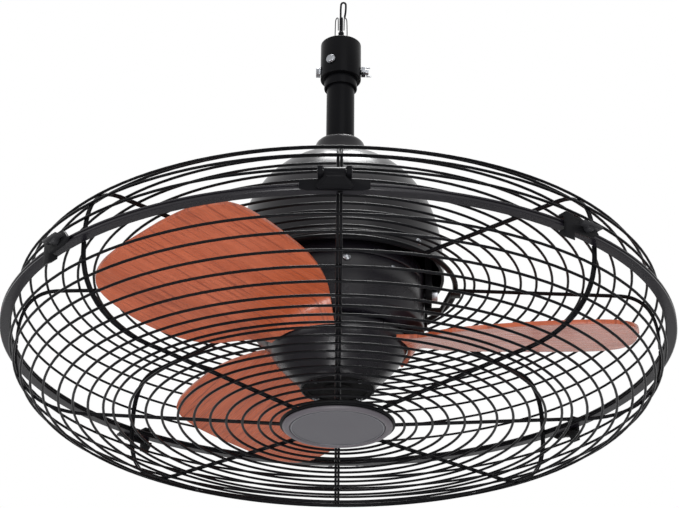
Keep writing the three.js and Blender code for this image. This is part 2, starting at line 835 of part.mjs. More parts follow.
// ---------------------------------------------------------------- rotor and hub
const hubWebTop = recessTop + 17;
const hubWebBottom = recessTop + 11;
piece("rotor_core", tube(shaftFitR, STATOR_BORE_R - GAP, statorBottom, statorTop, 24), steel, rotor);
piece(
  "motor_shaft",
  turned([
    [0, recessTop + 2],
    [SHAFT_TAIL_R, recessTop + 2],
    [SHAFT_TAIL_R, hubWebTop + GAP],
    [SHAFT_R, hubWebTop + GAP],
    [SHAFT_R, upperBearingTop - 0.5],
    [0, upperBearingTop - 0.5],
  ], 16),
  zinc,
  rotor
);

// The hub's side: steep at the top, then running in to the small round foot.
const hubReach = HUB_R - HUB_FOOT_R;
const hubSide = new THREE.SplineCurve([
  new THREE.Vector2(HUB_R, hubTop - 0.07 * HUB_DEPTH),
  new THREE.Vector2(HUB_R - 0.045 * hubReach, -0.1 * HUB_DEPTH),
  new THREE.Vector2(HUB_R - 0.18 * hubReach, -0.29 * HUB_DEPTH),
  new THREE.Vector2(HUB_R - 0.515 * hubReach, -0.57 * HUB_DEPTH),
  new THREE.Vector2(HUB_R - 0.9 * hubReach, -0.83 * HUB_DEPTH),
  new THREE.Vector2(HUB_FOOT_R, -HUB_DEPTH),
]).getPoints(8).map((p) => [p.x, p.y]);
piece(
  "blade_hub",
  ring([
    [HUB_RECESS_R, -HUB_DEPTH],
    ...[...hubSide].reverse(),
    [HUB_R - 1, hubTop],
    [shaftFitR, hubTop],
    [shaftFitR, hubWebTop],
    [SHAFT_TAIL_R + GAP, hubWebTop],
    [SHAFT_TAIL_R + GAP, hubWebBottom],
    [HUB_NUT_R + 3, hubWebBottom],
    [HUB_NUT_R + 3, recessTop],
    [HUB_RECESS_R, recessTop],
  ]),
  blackEnamel,
  rotor
);
piece(
  "hub_nut",
  hexNut(SHAFT_TAIL_R + GAP, HUB_NUT_R, hubWebBottom - GAP - HUB_NUT_H, hubWebBottom - GAP),
  zinc,
  rotor
);
piece(
  "hub_cap",
  rod(HUB_RECESS_R - GAP, recessTop - GAP - HUB_CAP_THICK, recessTop - GAP, 24),
  blackPlastic,
  rotor
);

// ---------------------------------------------------------------- blades
// Rows of the blade in plan, from root to tip. Each edge has its share of the way from hub
// to tip, and its share of the blade's width to the side of the middle line.
const bladeRows = [
  { lead: [0.034, 0.263], trail: [0.051, -0.26] },
  { lead: [0.164, 0.347], trail: [0.189, -0.433] },
  { lead: [0.331, 0.41], trail: [0.336, -0.513] },
  { lead: [0.508, 0.44], trail: [0.518, -0.547] },
  { lead: [0.685, 0.453], trail: [0.7, -0.54] },
  { lead: [0.838, 0.44], trail: [0.838, -0.507] },
  { lead: [0.926, 0.38], trail: [0.926, -0.44] },
  { lead: [0.98, 0.253], trail: [0.98, -0.32] },
  { lead: [1, 0.08], trail: [1, -0.16] },
];
const BLADE_COLUMNS = 6;
const bladeSpan = bladeTipR - HUB_R;

function pitchSlope(share) {
  return Math.tan(radians(BLADE_ANGLE_ROOT + (BLADE_ANGLE_TIP - BLADE_ANGLE_ROOT) * share));
}

// The root: a cuff whose edge lies against the hub's side.
function cuffPoint(across) {
  const radius = HUB_R + BLADE_CUFF_GAP;
  const angle = radians(BLADE_CUFF_ANGLE) * (1 - 2 * across);
  return new THREE.Vector3(radius * Math.cos(angle), radius * Math.sin(angle), BLADE_CUFF_Z);
}

function bladePoint(row, across) {
  const { lead, trail } = bladeRows[row];
  const share = lead[0] + (trail[0] - lead[0]) * across;
  const side = (lead[1] + (trail[1] - lead[1]) * across) * BLADE_WIDTH;
  const round = row === 0 ? BLADE_ROOT_ROUND * Math.sin(Math.PI * across) : 0;
  return new THREE.Vector3(HUB_R + share * bladeSpan + round, side, BLADE_RISE + pitchSlope(share) * side);
}

function blade() {
  const rows = [];
  for (let row = -1; row < bladeRows.length; row += 1) {
    const line = [];
    for (let column = 0; column <= BLADE_COLUMNS; column += 1) {
      const across = column / BLADE_COLUMNS;
      line.push(row < 0 ? cuffPoint(across) : bladePoint(row, across));
    }
    rows.push(line);
  }
  const columns = BLADE_COLUMNS + 1;
  const points = [];
  for (const lift of [0, BLADE_THICK]) {
    for (const line of rows) for (const p of line) points.push(p.x, p.y, p.z + lift);
  }
  const half = rows.length * columns;
  const corners = [];
  const quad = (a, b, c, d) => corners.push(a, b, c, a, c, d);
  for (let i = 0; i < rows.length - 1; i += 1) {
    for (let j = 0; j < BLADE_COLUMNS; j += 1) {
      const a = i * columns + j;
      quad(a, a + 1, a + columns + 1, a + columns);
      quad(a + half, a + half + columns, a + half + columns + 1, a + half + 1);
    }
  }
  const rim = [];
  for (let j = 0; j < BLADE_COLUMNS; j += 1) rim.push(j);
  for (let i = 0; i < rows.length - 1; i += 1) rim.push(i * columns + BLADE_COLUMNS);
  for (let j = BLADE_COLUMNS; j > 0; j -= 1) rim.push((rows.length - 1) * columns + j);
  for (let i = rows.length - 1; i > 0; i -= 1) rim.push(i * columns);
  rim.forEach((a, i) => {
    const b = rim[(i + 1) % rim.length];
    quad(a, a + half, b + half, b);
  });
  const geometry = new THREE.BufferGeometry();
  geometry.setAttribute("position", new THREE.Float32BufferAttribute(points, 3));
  geometry.setIndex(corners);
  return geometry;
}

for (let i = 0; i < BLADE_COUNT; i += 1) {
  piece(`blade_${i + 1}`, blade(), cherry, rotor, { azimuth: BLADE_AZIMUTH + (360 / BLADE_COUNT) * i });
}

// ---------------------------------------------------------------- wire guards
// Each guard is a nearly flat floor from its inner edge to a knee, then a quarter of a
// superellipse to the channel band. "side" is +1 for the upper guard, -1 for the lower.
const edgeZ = EDGE_RING / 2 + 0.3;
const lowerForm = {
  side: -1,
  crown: LOWER_DEPTH,
  fall: LOWER_RISE,
  inner: LOWER_INNER_R,
  knee: guardRimR - LOWER_BEND_REACH,
  bend: LOWER_BEND_EXPONENT,
};
const upperForm = {
  side: 1,
  crown: UPPER_HEIGHT,
  fall: UPPER_FALL,
  inner: UPPER_INNER_R,
  knee: guardRimR - UPPER_BEND_REACH,
  bend: UPPER_BEND_EXPONENT,
};

function floorPoint(form, radius) {
  const share = (radius - form.inner) / (form.knee - form.inner);
  return new THREE.Vector2(radius, form.side * (form.crown - form.fall * share));
}

function bendPoint(form, angle) {
  const height = form.crown - form.fall - edgeZ;
  const reach = guardRimR - form.knee;
  const power = 2 / form.bend;
  return new THREE.Vector2(
    form.knee + reach * Math.sin(radians(angle)) ** power,
    form.side * (edgeZ + height * Math.abs(Math.cos(radians(angle))) ** power)
  );
}

// Angles of the rings in the bend, about one pitch apart along it. The ribs bend there too.
function bendAngles(form) {
  const lengths = [0];
  for (let angle = 1; angle <= 90; angle += 1) {
    lengths.push(lengths[angle - 1] + bendPoint(form, angle).distanceTo(bendPoint(form, angle - 1)));
  }
  const count = Math.round(lengths[90] / RING_PITCH);
  const pitch = lengths[90] / (count + 0.4);
  return Array.from({ length: count }, (_, i) => lengths.findIndex((length) => length >= i * pitch));
}

// Outward normal of the guard's curve, away from the blades.
function outward(form, point, next) {
  const along = next.clone().sub(point).normalize();
  return new THREE.Vector2(-along.y, along.x).multiplyScalar(form.side);
}

// One welded ring: a three-sided wire whose edge sinks into the flat ribs.
function weldedRing(form, point, next, facets) {
  const normal = outward(form, point, next);
  const tangent = new THREE.Vector2(-normal.y, normal.x);
  const foot = point.clone().addScaledVector(normal, WIRE / 2 - WELD);
  const back = foot.clone().addScaledVector(normal, WIRE);
  const corners = [
    foot,
    back.clone().addScaledVector(tangent, WIRE / 2),
    back.clone().addScaledVector(tangent, -WIRE / 2),
  ];
  return wireRing(corners, facets);
}

// A ring turned with few facets, so wide that each facet's middle has the true radius.
function wireRing(corners, facets) {
  const grow = 1 / Math.cos(Math.PI / facets);
  return ring(corners.map((p) => [p.x * grow, p.y]), facets).rotateZ(Math.PI / facets);
}

const facetsFor = (radius) => (radius < 200 ? 16 : 24);

function ribs(form) {
  const points = [floorPoint(form, form.inner), floorPoint(form, (form.inner + form.knee) / 2)];
  for (const angle of [...bendAngles(form), 90]) points.push(bendPoint(form, angle));
  const outline = strip(points, WIRE);
  return Array.from({ length: RIB_COUNT }, (_, i) =>
    radialPlate(outline, RIB_WIDTH).rotateZ((2 * Math.PI * i) / RIB_COUNT)
  );
}

function rings(form, firstRadius, extraRadii) {
  const list = [];
  const radii = [...extraRadii];
  for (let r = firstRadius; r < form.knee - 0.4 * RING_PITCH; r += RING_PITCH) radii.push(r);
  for (const r of radii) {
    list.push(weldedRing(form, floorPoint(form, r), floorPoint(form, r + 1), facetsFor(r)));
  }
  for (const angle of bendAngles(form)) {
    list.push(weldedRing(form, bendPoint(form, angle), bendPoint(form, angle + 1), 24));
  }
  return list;
}

function squareRing(radius, z, size, facets) {
  const half = size / 2;
  return wireRing(
    [[-half, -half], [half, -half], [half, half], [-half, half]].map(
      ([dr, dz]) => new THREE.Vector2(radius + dr, z + dz)
    ),
    facets
  );
}

const edgeRing = (side) => squareRing(guardRimR + WIRE / 2 + EDGE_RING / 2 - WELD, side * edgeZ, EDGE_RING, 24);

piece(
  "lower_guard",
  join(
    ...ribs(lowerForm),
    ...rings(lowerForm, LOWER_FIRST_RING_R, [LOWER_FIRST_RING_R - 10.5]),
    edgeRing(-1),
    tube(LOWER_INNER_R - 8, LOWER_INNER_R + 1, -LOWER_DEPTH - WIRE / 2, -LOWER_DEPTH + WIRE / 2, 24)
  ),
  blackEnamel,
  head
);
piece(
  "upper_guard",
  join(
    ...ribs(upperForm),
    ...rings(upperForm, UPPER_FIRST_RING_R, [UPPER_FIRST_RING_R - 22.3, UPPER_FIRST_RING_R - 13.7]),
    edgeRing(1),
    squareRing(UPPER_INNER_R, UPPER_HEIGHT, UPPER_INNER_WIRE, 24)
  ),
  blackEnamel,
  head
);

// ---------------------------------------------------------------- band
const bandInner = BAND_R - BAND_DEPTH;
const halfBand = BAND_H / 2;
piece(
  "guard_band",
  cut(
    ring([
      [bandInner, -halfBand],
      [BAND_R, -halfBand],
      [BAND_R, halfBand],
      [bandInner, halfBand],
      [bandInner, halfBand - BAND_SHEET],
      [BAND_R - BAND_SHEET, halfBand - BAND_SHEET],
      [BAND_R - BAND_SHEET, -halfBand + BAND_SHEET],
      [bandInner, -halfBand + BAND_SHEET],
    ], 48),
    box(bandInner - 5, BAND_R + 5, -BAND_SPLIT / 2, BAND_SPLIT / 2, -BAND_H, BAND_H).rotateZ(radians(BUCKLE_AZIMUTH))
  ),
  blackEnamel,
  head
);

// ---------------------------------------------------------------- buckle
// Built on the +X side, pointing outwards along X, then turned to its azimuth.
const buckleFace = BAND_R + GAP;
const strapOuter = buckleFace + 1.6;
const pinX = strapOuter + 3.4;
const pinZ = halfBand + 4;
function upright(outline, from, thickness) {
  // outline in the Y-Z plane, thickness along +X
  return prism(outline, thickness).rotateX(Math.PI / 2).rotateZ(Math.PI / 2).translate(from, 0, 0);
}
const halfStrap = BUCKLE_STRAP / 2;
const halfBuckle = BUCKLE_WIDTH / 2;
piece(
  "buckle_base",
  cut(
    join(
      upright(
        [
          [-halfStrap, -3.5], [-halfStrap + 6, -5], [halfStrap - 6, -5], [halfStrap, -3.5],
          [halfStrap, 3.5], [halfBuckle, 4.5], [halfBuckle, pinZ + 3], [-halfBuckle, pinZ + 3],
          [-halfBuckle, 4.5], [-halfStrap, 3.5],
        ],
        buckleFace,
        1.6
      ),
      box(buckleFace, pinX + 3, -halfBuckle, -halfBuckle + 4, halfBand, pinZ + 3),
      box(buckleFace, pinX + 3, halfBuckle - 4, halfBuckle, halfBand, pinZ + 3)
    ),
    rod(1.5, -BUCKLE_WIDTH, BUCKLE_WIDTH, 8).rotateX(Math.PI / 2).translate(pinX, 0, pinZ)
  ),
  blackEnamel,
  head,
  { azimuth: BUCKLE_AZIMUTH }
);
piece(
  "buckle_pin",
  rod(1.2, -halfBuckle - 0.6, halfBuckle + 0.6, 8).rotateX(Math.PI / 2).translate(pinX, 0, pinZ),
  zinc,
  head,
  { azimuth: BUCKLE_AZIMUTH }
);
const eye = halfBuckle - 4 - 2 * GAP;
const leverHalf = halfBuckle + 1.5;
const leverNeck = halfBand - 2 * GAP;
const leverFoot = pinZ - LEVER_DROP - 2;
piece(
  "buckle_lever",
  cut(
    join(
      rod(2.7, -eye, eye).rotateX(Math.PI / 2).translate(pinX, 0, pinZ),
      upright(
        [
          [-eye, pinZ], [-eye, leverNeck], [-leverHalf, leverFoot + 2], [-leverHalf + 3, leverFoot],
          [leverHalf - 3, leverFoot], [leverHalf, leverFoot + 2], [eye, leverNeck], [eye, pinZ],
        ],
        pinX - LEVER_THICK / 2,
        LEVER_THICK
      )
    ),
    rod(1.5, -BUCKLE_WIDTH, BUCKLE_WIDTH, 8).rotateX(Math.PI / 2).translate(pinX, 0, pinZ)
  ),
  blackEnamel,
  head,
  { azimuth: BUCKLE_AZIMUTH }
);

// ---------------------------------------------------------------- clips
const clipFace = BAND_R + GAP;
const clipLip = halfBand + GAP;
function clipBody() {
  const claw = radialPlate(
    [
      [bandInner + 4, clipLip], [clipFace, clipLip], [clipFace, -clipLip], [bandInner + 4, -clipLip],
      [bandInner + 4, -clipLip - CLIP_WALL], [clipFace + CLIP_WALL, -clipLip - CLIP_WALL - 6],
      [clipFace + CLIP_WALL, clipLip + CLIP_WALL], [bandInner + 4, clipLip + CLIP_WALL],
    ],
    CLIP_WIDTH
  );
  const arm = upright(
    [[0, -7], [CLIP_BODY, -6], [CLIP_BODY + 7, -1.5], [CLIP_BODY, 6.5], [0, 7]],
    clipFace,
    CLIP_WALL
  );
  const hole = alongX(rod(2.7, BAND_R - 3, BAND_R + 30)).translate(0, CLIP_BODY - 7, 0);
  return cut(join(claw, arm), hole);
}

function clipScrew() {
  const seat = clipFace + CLIP_WALL + GAP;
  return join(
    alongX(rod(2.3, clipFace, seat + 6, 10)),
    alongX(rod(4.2, seat, seat + 6, 12)),
    box(seat + 1.5, seat + 8.5, -10, 10, -1.2, 1.2)
  ).translate(0, CLIP_BODY - 7, 0);
}

CLIP_AZIMUTHS.forEach((azimuth, i) => {
  piece(`clip_${i + 1}`, clipBody(), blackPlastic, head, { azimuth });
  piece(`clip_screw_${i + 1}`, clipScrew(), steel, head, { azimuth });
});

// ---------------------------------------------------------------- guard brackets
// A strap from the motor's side, under the yoke's ear and up to the guard's inner ring.
const footTop = PIVOT_Z - EAR_R - 0.6;
const footX = CAN_R + GAP + BRACKET_SHEET / 2;
const padTop = UPPER_HEIGHT - UPPER_INNER_WIRE / 2 - GAP;
const padZ = padTop - BRACKET_SHEET / 2;
const armX = earOuter + GAP + PIVOT_HEAD_H + 2.4;
const strapPoints = [
  [footX, footTop - BRACKET_FOOT_H],
  [footX, footTop - BRACKET_SHEET / 2],
  [armX, footTop - BRACKET_SHEET / 2],
  [UPPER_INNER_R - 5, padZ],
  [UPPER_INNER_R + 5, padZ],
].map(([x, z]) => new THREE.Vector2(x, z));
for (const [side, azimuth] of [["right", 0], ["left", 180]]) {
  piece(
    `guard_bracket_${side}`,
    radialPlate(strip(strapPoints, BRACKET_SHEET), BRACKET_WIDTH),
    blackEnamel,
    head,
    { azimuth }
  );
}

// ---------------------------------------------------------------- badge
const badgeTop = -LOWER_DEPTH - WIRE / 2 - GAP;
piece(
  "badge_rim",
  ring([
    [BADGE_DISC_R + GAP, badgeTop - 2.4],
    [BADGE_DISC_R + 1.2, badgeTop - 2.4 - BADGE_LIP],
    [BADGE_R - 1, badgeTop - 2.4 - BADGE_LIP],
    [BADGE_R, badgeTop - 1.6],
    [BADGE_R, badgeTop],
    [BADGE_DISC_R + GAP, badgeTop],
  ], 32),
  blackPlastic,
  head
);
piece("badge_disc", rod(BADGE_DISC_R, badgeTop - 2.4, badgeTop - 0.4, 32), badgeGrey, head);

export default assembly;
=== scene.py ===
# %% [markdown]
# # An orbital ceiling fan
# The fan hangs on a down rod from a ceiling pipe. A motor in a wire cage drives three
# wooden blades, and a small geared drive in the bell above carries the whole head round
# in a slow circle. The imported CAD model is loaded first: every piece made here goes where
# that model says, in metres, with the origin at the top edge of the hanging coupling.

# %% Load the frame
import json
import math

import bpy
from mathutils import Matrix, Vector


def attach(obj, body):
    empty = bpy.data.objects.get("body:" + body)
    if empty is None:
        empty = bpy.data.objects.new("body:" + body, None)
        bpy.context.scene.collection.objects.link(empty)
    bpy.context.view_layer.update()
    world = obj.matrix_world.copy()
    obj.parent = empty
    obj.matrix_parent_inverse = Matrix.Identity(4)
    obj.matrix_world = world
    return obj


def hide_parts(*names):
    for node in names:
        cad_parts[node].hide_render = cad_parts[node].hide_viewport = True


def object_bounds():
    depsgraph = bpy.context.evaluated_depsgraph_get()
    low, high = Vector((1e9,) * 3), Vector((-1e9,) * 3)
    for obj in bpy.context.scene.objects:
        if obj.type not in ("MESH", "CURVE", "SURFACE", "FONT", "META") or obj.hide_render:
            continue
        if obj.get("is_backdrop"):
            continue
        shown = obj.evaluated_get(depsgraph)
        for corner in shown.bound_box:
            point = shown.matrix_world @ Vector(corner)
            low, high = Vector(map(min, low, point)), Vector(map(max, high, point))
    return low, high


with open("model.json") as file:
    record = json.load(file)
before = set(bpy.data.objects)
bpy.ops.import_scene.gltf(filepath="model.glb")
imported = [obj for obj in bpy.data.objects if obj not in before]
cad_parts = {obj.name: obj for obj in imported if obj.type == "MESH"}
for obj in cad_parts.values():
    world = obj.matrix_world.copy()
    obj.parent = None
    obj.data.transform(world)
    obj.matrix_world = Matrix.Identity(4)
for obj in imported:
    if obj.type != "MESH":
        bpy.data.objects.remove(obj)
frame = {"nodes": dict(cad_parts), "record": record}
cad_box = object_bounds()
nodes = frame["nodes"]
print("CAD nodes:", len(nodes), "box:", [[round(v, 3) for v in corner] for corner in cad_box])

# %% [markdown]
# ## Millimetres and heights
# The guard's band lies 320 mm below the coupling's top edge. Sizes are thought of in
# millimetres, and heights from the band's middle plane, as on a drawing, so one small
# helper turns a drawing height into the scene's metres.

# %% Drawing heights
HANG = 320


def up(height):
    """A height above the band's middle plane, in mm, as a scene height in metres."""
    return (height - HANG) / 1000


def mm(*values):
    """Millimetres to metres, for one value or several."""
    scaled = tuple(v / 1000 for v in values)
    return scaled[0] if len(scaled) == 1 else scaled


print("band plane at", up(0), "m, badge at", round(up(-78), 4), "m")

# %% [markdown]
# ## The camera
# The photograph looks up at the fan from 1.69 m away through a long lens. The lens, the
# distance and the upward tilt come from the ellipses of the band and the badge and from
# the straight ribs of the guard: a round thing seen from below tells how steep the view is.

# %% Camera
LENS = 99.5
SENSOR_WIDTH = 36
CAMERA_PLACE = (0.0004, -1.5403, -1.0029)
VIEW_PITCH = math.radians(90 + 26.74)
VIEW_ROLL = 0.0092
bpy.ops.object.camera_add(location=CAMERA_PLACE)
camera = bpy.context.active_object
camera.name = "photo_camera"
camera.rotation_euler = (
    Matrix.Rotation(VIEW_PITCH, 4, "X") @ Matrix.Rotation(VIEW_ROLL, 4, "Z")
).to_euler()
camera.data.sensor_fit = "HORIZONTAL"
camera.data.sensor_width = SENSOR_WIDTH
camera.data.lens = LENS
camera.data.clip_start = 0.05
camera.data.clip_end = 50
bpy.context.scene.camera = camera
bpy.context.scene.view_settings.view_transform = "Standard"
print("camera", tuple(round(v, 3) for v in camera.location))

# %% [markdown]
# ## Selecting by hand, in code
# Blender's operators act on what is selected. Loading the frame leaves everything
# selected, so each step starts by selecting nothing, and then only its own object.

# %% Selection helpers


def only(piece):
    """Selects one object alone and makes it active."""
    if bpy.context.mode != "OBJECT":
        bpy.ops.object.mode_set(mode="OBJECT")
    bpy.ops.object.select_all(action="DESELECT")
    piece.select_set(True)
    bpy.context.view_layer.objects.active = piece
    return piece


def settle(piece):
    """Writes the object's place into its mesh, so that the object sits at the origin."""
    only(piece)
    bpy.ops.object.transform_apply(location=True, rotation=True, scale=True)
    return piece


def finish_piece(piece, name, body, material, stands_for=()):
    """Names a finished piece, gives it a material and hangs it on its CAD body."""
    settle(piece)
    piece.name = name
    piece.data.name = name
    piece.data.materials.clear()
    piece.data.materials.append(material)
    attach(piece, body)
    if stands_for:
        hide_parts(*stands_for)
    return piece


# %% [markdown]
# ## Shader maths as plain expressions
# A node tree is easier to read as a formula. A Signal wraps one socket, and + and * on it
# add Math nodes. A Finish is one material with its Principled shader, and its node method
# adds any other node from a type, its settings and its inputs.

# %% Signal and Finish


class Signal:
    """One output socket that can be used in arithmetic."""

    def __init__(self, finish, socket):
        self.finish = finish
        self.socket = socket

    def _math(self, operation, first, second):
        return self.finish.node("ShaderNodeMath", {"operation": operation}, {0: first, 1: second})

    def __add__(self, other):
        return self._math("ADD", self, other)

    __radd__ = __add__

    def __mul__(self, other):
        return self._math("MULTIPLY", self, other)

    __rmul__ = __mul__


class Finish:
    """A material and the few calls that build its nodes."""

    def __init__(self, name, **values):
        self.material = bpy.data.materials.new(name)
        self.material.use_nodes = True
        self.tree = self.material.node_tree
        self.shader = self.tree.nodes["Principled BSDF"]
        for socket, value in values.items():
            self.shader.inputs[socket.replace("_", " ")].default_value = value

    def node(self, kind, settings=None, inputs=None, output=0):
        """Any node: its type, its settings, the values or links of its inputs."""
        made = self.tree.nodes.new(kind)
        for key, value in (settings or {}).items():
            setattr(made, key, value)
        for key, value in (inputs or {}).items():
            self.plug(value, made.inputs[key])
        return Signal(self, made.outputs[output])

    def plug(self, value, socket):
        """Links a Signal to a socket, or writes a plain value on it."""
        if isinstance(value, Signal):
            self.tree.links.new(value.socket, socket)
        elif isinstance(value, tuple) and len(value) == 3 and socket.type == "RGBA":
            socket.default_value = (*value, 1)
        else:
            socket.default_value = value

    def set(self, **links):
        """Plugs values into the Principled shader, each named by its socket."""
        for socket, value in links.items():
            self.plug(value, self.shader.inputs[socket.replace("_", " ")])
        return self

    def where(self, space):
        """Coordinates in metres: Object for the place in space, UV for a blade's plan."""
        return self.node("ShaderNodeTexCoord", output=space)

    def stretched(self, vector, along, across):
        """Coordinates scaled unequally, so that a noise on them is drawn out."""
        return self.node(
            "ShaderNodeMapping", None, {"Vector": vector, "Scale": (along, across, 1)}
        )

    def noise(self, vector, scale, detail=2.0, roughness=0.5):
        """Soft noise from 0 to 1, with so many waves to a metre of its coordinates."""
        return self.node(
            "ShaderNodeTexNoise",
            None,
            {"Vector": vector, "Scale": scale, "Detail": detail, "Roughness": roughness},
        )

    def between(self, factor, low, high):
        """A colour that runs from low to high with the factor."""
        return self.node(
            "ShaderNodeMix",
            {"data_type": "RGBA"},
            {"Factor": factor, "A": low, "B": high},
            output="Result",
        )

    def clamp(self, value, low, high):
        """Maps the range low..high of a value onto 0..1 and stops it there."""
        return self.node(
            "ShaderNodeMapRange", None, {"Value": value, "From Min": low, "From Max": high}
        )

    def bump(self, height, distance, strength):
        """Small relief: a height, its full depth in metres and its strength."""
        normal = self.node(
            "ShaderNodeBump", None, {"Height": height, "Distance": distance, "Strength": strength}
        )
        return self.set(Normal=normal)


print("shader helpers ready")

# %% [markdown]
# ## The supply leads
# The leads that come out of the coupling are settled first, because their length is real:
# two thin earth leads run up beside a bound bundle and turn down into it, and one thick
# lead folds over above it. Bent cylinders would show a joint at every turn, so each lead is
# one smooth curve with a round section.

# %% Lead routes
BUSH_TOP = HANG + 15
BUNDLE_TOP = BUSH_TOP + 17.3
THIN_TOP = BUSH_TOP + 17
LOOP_FOOT = BUNDLE_TOP + 0.3


def smooth_route(points, steps=8):
    """Points in mm on a smooth curve through the given ones (Catmull-Rom)."""
    ends = [points[0]] + list(points) + [points[-1]]
    route = []
    for i in range(1, len(ends) - 2):
        p = [Vector(q) for q in ends[i - 1 : i + 3]]
        for k in range(steps):
            t = k / steps
            route.append(
                0.5
                * (
                    2 * p[1]
                    + (p[2] - p[0]) * t
                    + (2 * p[0] - 5 * p[1] + 4 * p[2] - p[3]) * t**2
                    + (3 * p[1] - p[0] - 3 * p[2] + p[3]) * t**3
                )
            )
    return route + [Vector(points[-1])]


def round_line(name, points, radius, resolution):
    """A curve with a round section, through points in drawing mm, and its route in metres."""
    route = [Vector((mm(x), mm(y), up(z))) for x, y, z in points]
    curve = bpy.data.curves.new(name, "CURVE")
    curve.dimensions = "3D"
    curve.bevel_depth = mm(radius)
    curve.bevel_resolution = resolution
    curve.use_fill_caps = True
    line = curve.splines.new("POLY")
    line.points.add(len(route) - 1)
    for point, place in zip(line.points, route):
        point.co = (*place, 1)
    piece = bpy.data.objects.new(name, curve)
    bpy.context.collection.objects.link(piece)
    return piece, route


def thin_route(side):
    """The route of one earth lead, at the left (-1) or the right (1) of the bundle."""
    return [
        (6 * side, 0, HANG - 16.4),
        (6 * side, 0, HANG),
        (5.6 * side, 0, THIN_TOP - 6),
        (4.9 * side, 0, THIN_TOP - 1),
        (3.8 * side, 0, THIN_TOP + 0.4),
        (3 * side, 0, THIN_TOP - 1.5),
        (2.8 * side, 0, BUSH_TOP + 3),
    ]


loop_route = [
    (-0.6, 0, LOOP_FOOT),
    (-0.6, 0, LOOP_FOOT + 6),
    (-0.5, 0, LOOP_FOOT + 12),
    (0, 0, LOOP_FOOT + 16.3),
    (2, 0, LOOP_FOOT + 17.8),
    (4.1, 0, LOOP_FOOT + 16.3),
    (4.4, 0, LOOP_FOOT + 12),
    (4.1, 0, LOOP_FOOT + 6),
    (3.3, 0, LOOP_FOOT + 0.5),
]
print("points that shape the leads:", len(thin_route(1)), "and", len(loop_route))

# %% Leads
THIN_LEAD_R, LEAD_R = 0.5, 1.0
leads = [
    ("lead_left", thin_route(-1), THIN_LEAD_R, "earth_lead_left"),
    ("lead_right", thin_route(1), THIN_LEAD_R, "earth_lead_right"),
    ("lead_fold", loop_route, LEAD_R, "lead_loop"),
]
sheath = Finish("lead_sheath", Roughness=0.45, Specular_IOR_Level=0.06)
sheath.set(Base_Color=(0.008, 0.008, 0.01))
for name, points, radius, stands_for in leads:
    lead, route = round_line(name, smooth_route(points), radius, 3)
    lead.data.materials.append(sheath.material)
    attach(lead, "mast")
    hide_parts(stands_for)
    2 * mm(radius)

# %% [markdown]
# ## Plain finishes
# Black enamel covers nearly everything: dull on wires and rod, satin on the motor, the hub
# and the band, bronze-black on the bell. It is not one flat colour: powder-coated steel has
# a fine orange-peel texture that breaks up its gloss, and its gloss and tone drift a little.
# Plastic, zinc plate, blacked steel and machined metals are the same idea with other numbers.

# %% Enamel
PEEL_SCALE, PEEL_DEPTH, PEEL_STRENGTH = 900, 0.00006, 0.5
DRIFT_SCALE = 22
DRIFT_GLOSS = 0.12
DRIFT_LIGHT = 0.003


def enamel(name, colour, roughness, **extra):
    """A coat of one colour, with orange peel and a slow drift of tone and gloss."""
    finish = Finish(name, **extra)
    where = finish.where("Object")
    peel = finish.noise(where, PEEL_SCALE)
    drift = finish.noise(where, DRIFT_SCALE)
    lighter = tuple(c + (1 - c) * DRIFT_LIGHT for c in colour)
    finish.set(
        Base_Color=finish.between(drift, colour, lighter),
        Roughness=drift * DRIFT_GLOSS + (roughness - DRIFT_GLOSS / 2),
    )
    finish.bump(peel, PEEL_DEPTH, PEEL_STRENGTH)
    return finish


print("enamel: peel", PEEL_SCALE, "per metre, drift", DRIFT_SCALE, "per metre")

# %% Coats and metals
BLACK_GLOSS = 0.05
black = enamel("black_enamel", (0.0035, 0.0035, 0.0045), 0.3, Specular_IOR_Level=BLACK_GLOSS)
satin = enamel("satin_enamel", (0.006, 0.005, 0.008), 0.28, Specular_IOR_Level=0.32)
bronze = enamel(
    "bronze_enamel", (0.005, 0.004, 0.006), 0.28, Metallic=0.1, Specular_IOR_Level=0.26
)
plastic = enamel("black_plastic", (0.008, 0.008, 0.009), 0.45, Specular_IOR_Level=BLACK_GLOSS)
badge_frame = enamel("badge_frame", (0.085, 0.076, 0.088), 0.4, Specular_IOR_Level=0.4)
grey = enamel("badge_grey", (0.07, 0.067, 0.078), 0.42, Specular_IOR_Level=0.4)
bush = enamel("pale_bush", (0.2, 0.2, 0.195), 0.5, Specular_IOR_Level=0.3)
blacked = enamel("blacked_steel", (0.014, 0.014, 0.016), 0.36, Specular_IOR_Level=0.25)
zinc = enamel("zinc_plate", (0.3, 0.31, 0.33), 0.3, Metallic=1.0)
steel = enamel("plain_steel", (0.16, 0.165, 0.18), 0.4, Metallic=1.0)
brass = enamel("brass", (0.55, 0.4, 0.16), 0.35, Metallic=1.0)
winding = enamel("winding", (0.35, 0.14, 0.06), 0.4, Metallic=0.6)
print("finishes:", [material.name for material in bpy.data.materials])

# %% [markdown]
# ## Cherry wood
# The blades are boards with a straight, fine grain under a satin lacquer. The pattern reads
# the blade's own plan, kept in its UV map in metres. A picture of wood could be laid on
# it, but noise needs no file and never repeats. Stretched far along the blade it makes the
# soft bands of the grain, and a second one, finer and cut off sharply, the dark pores.

# %% Cherry wood
CHERRY_DARK = (0.43, 0.088, 0.034)
CHERRY_LIGHT = (0.53, 0.123, 0.053)
CHERRY_PORE = (0.2, 0.032, 0.012)
GRAIN_STRETCH, PORE_STRETCH = (5, 60), (9, 520)  # along and across the blade
GRAIN_RANGE, PORE_RANGE = (0.35, 0.65), (0.53, 0.62)
PORE_STRENGTH, PORE_DEPTH = 0.62, 0.00012
LACQUER, PORE_DULL = 0.27, 0.16


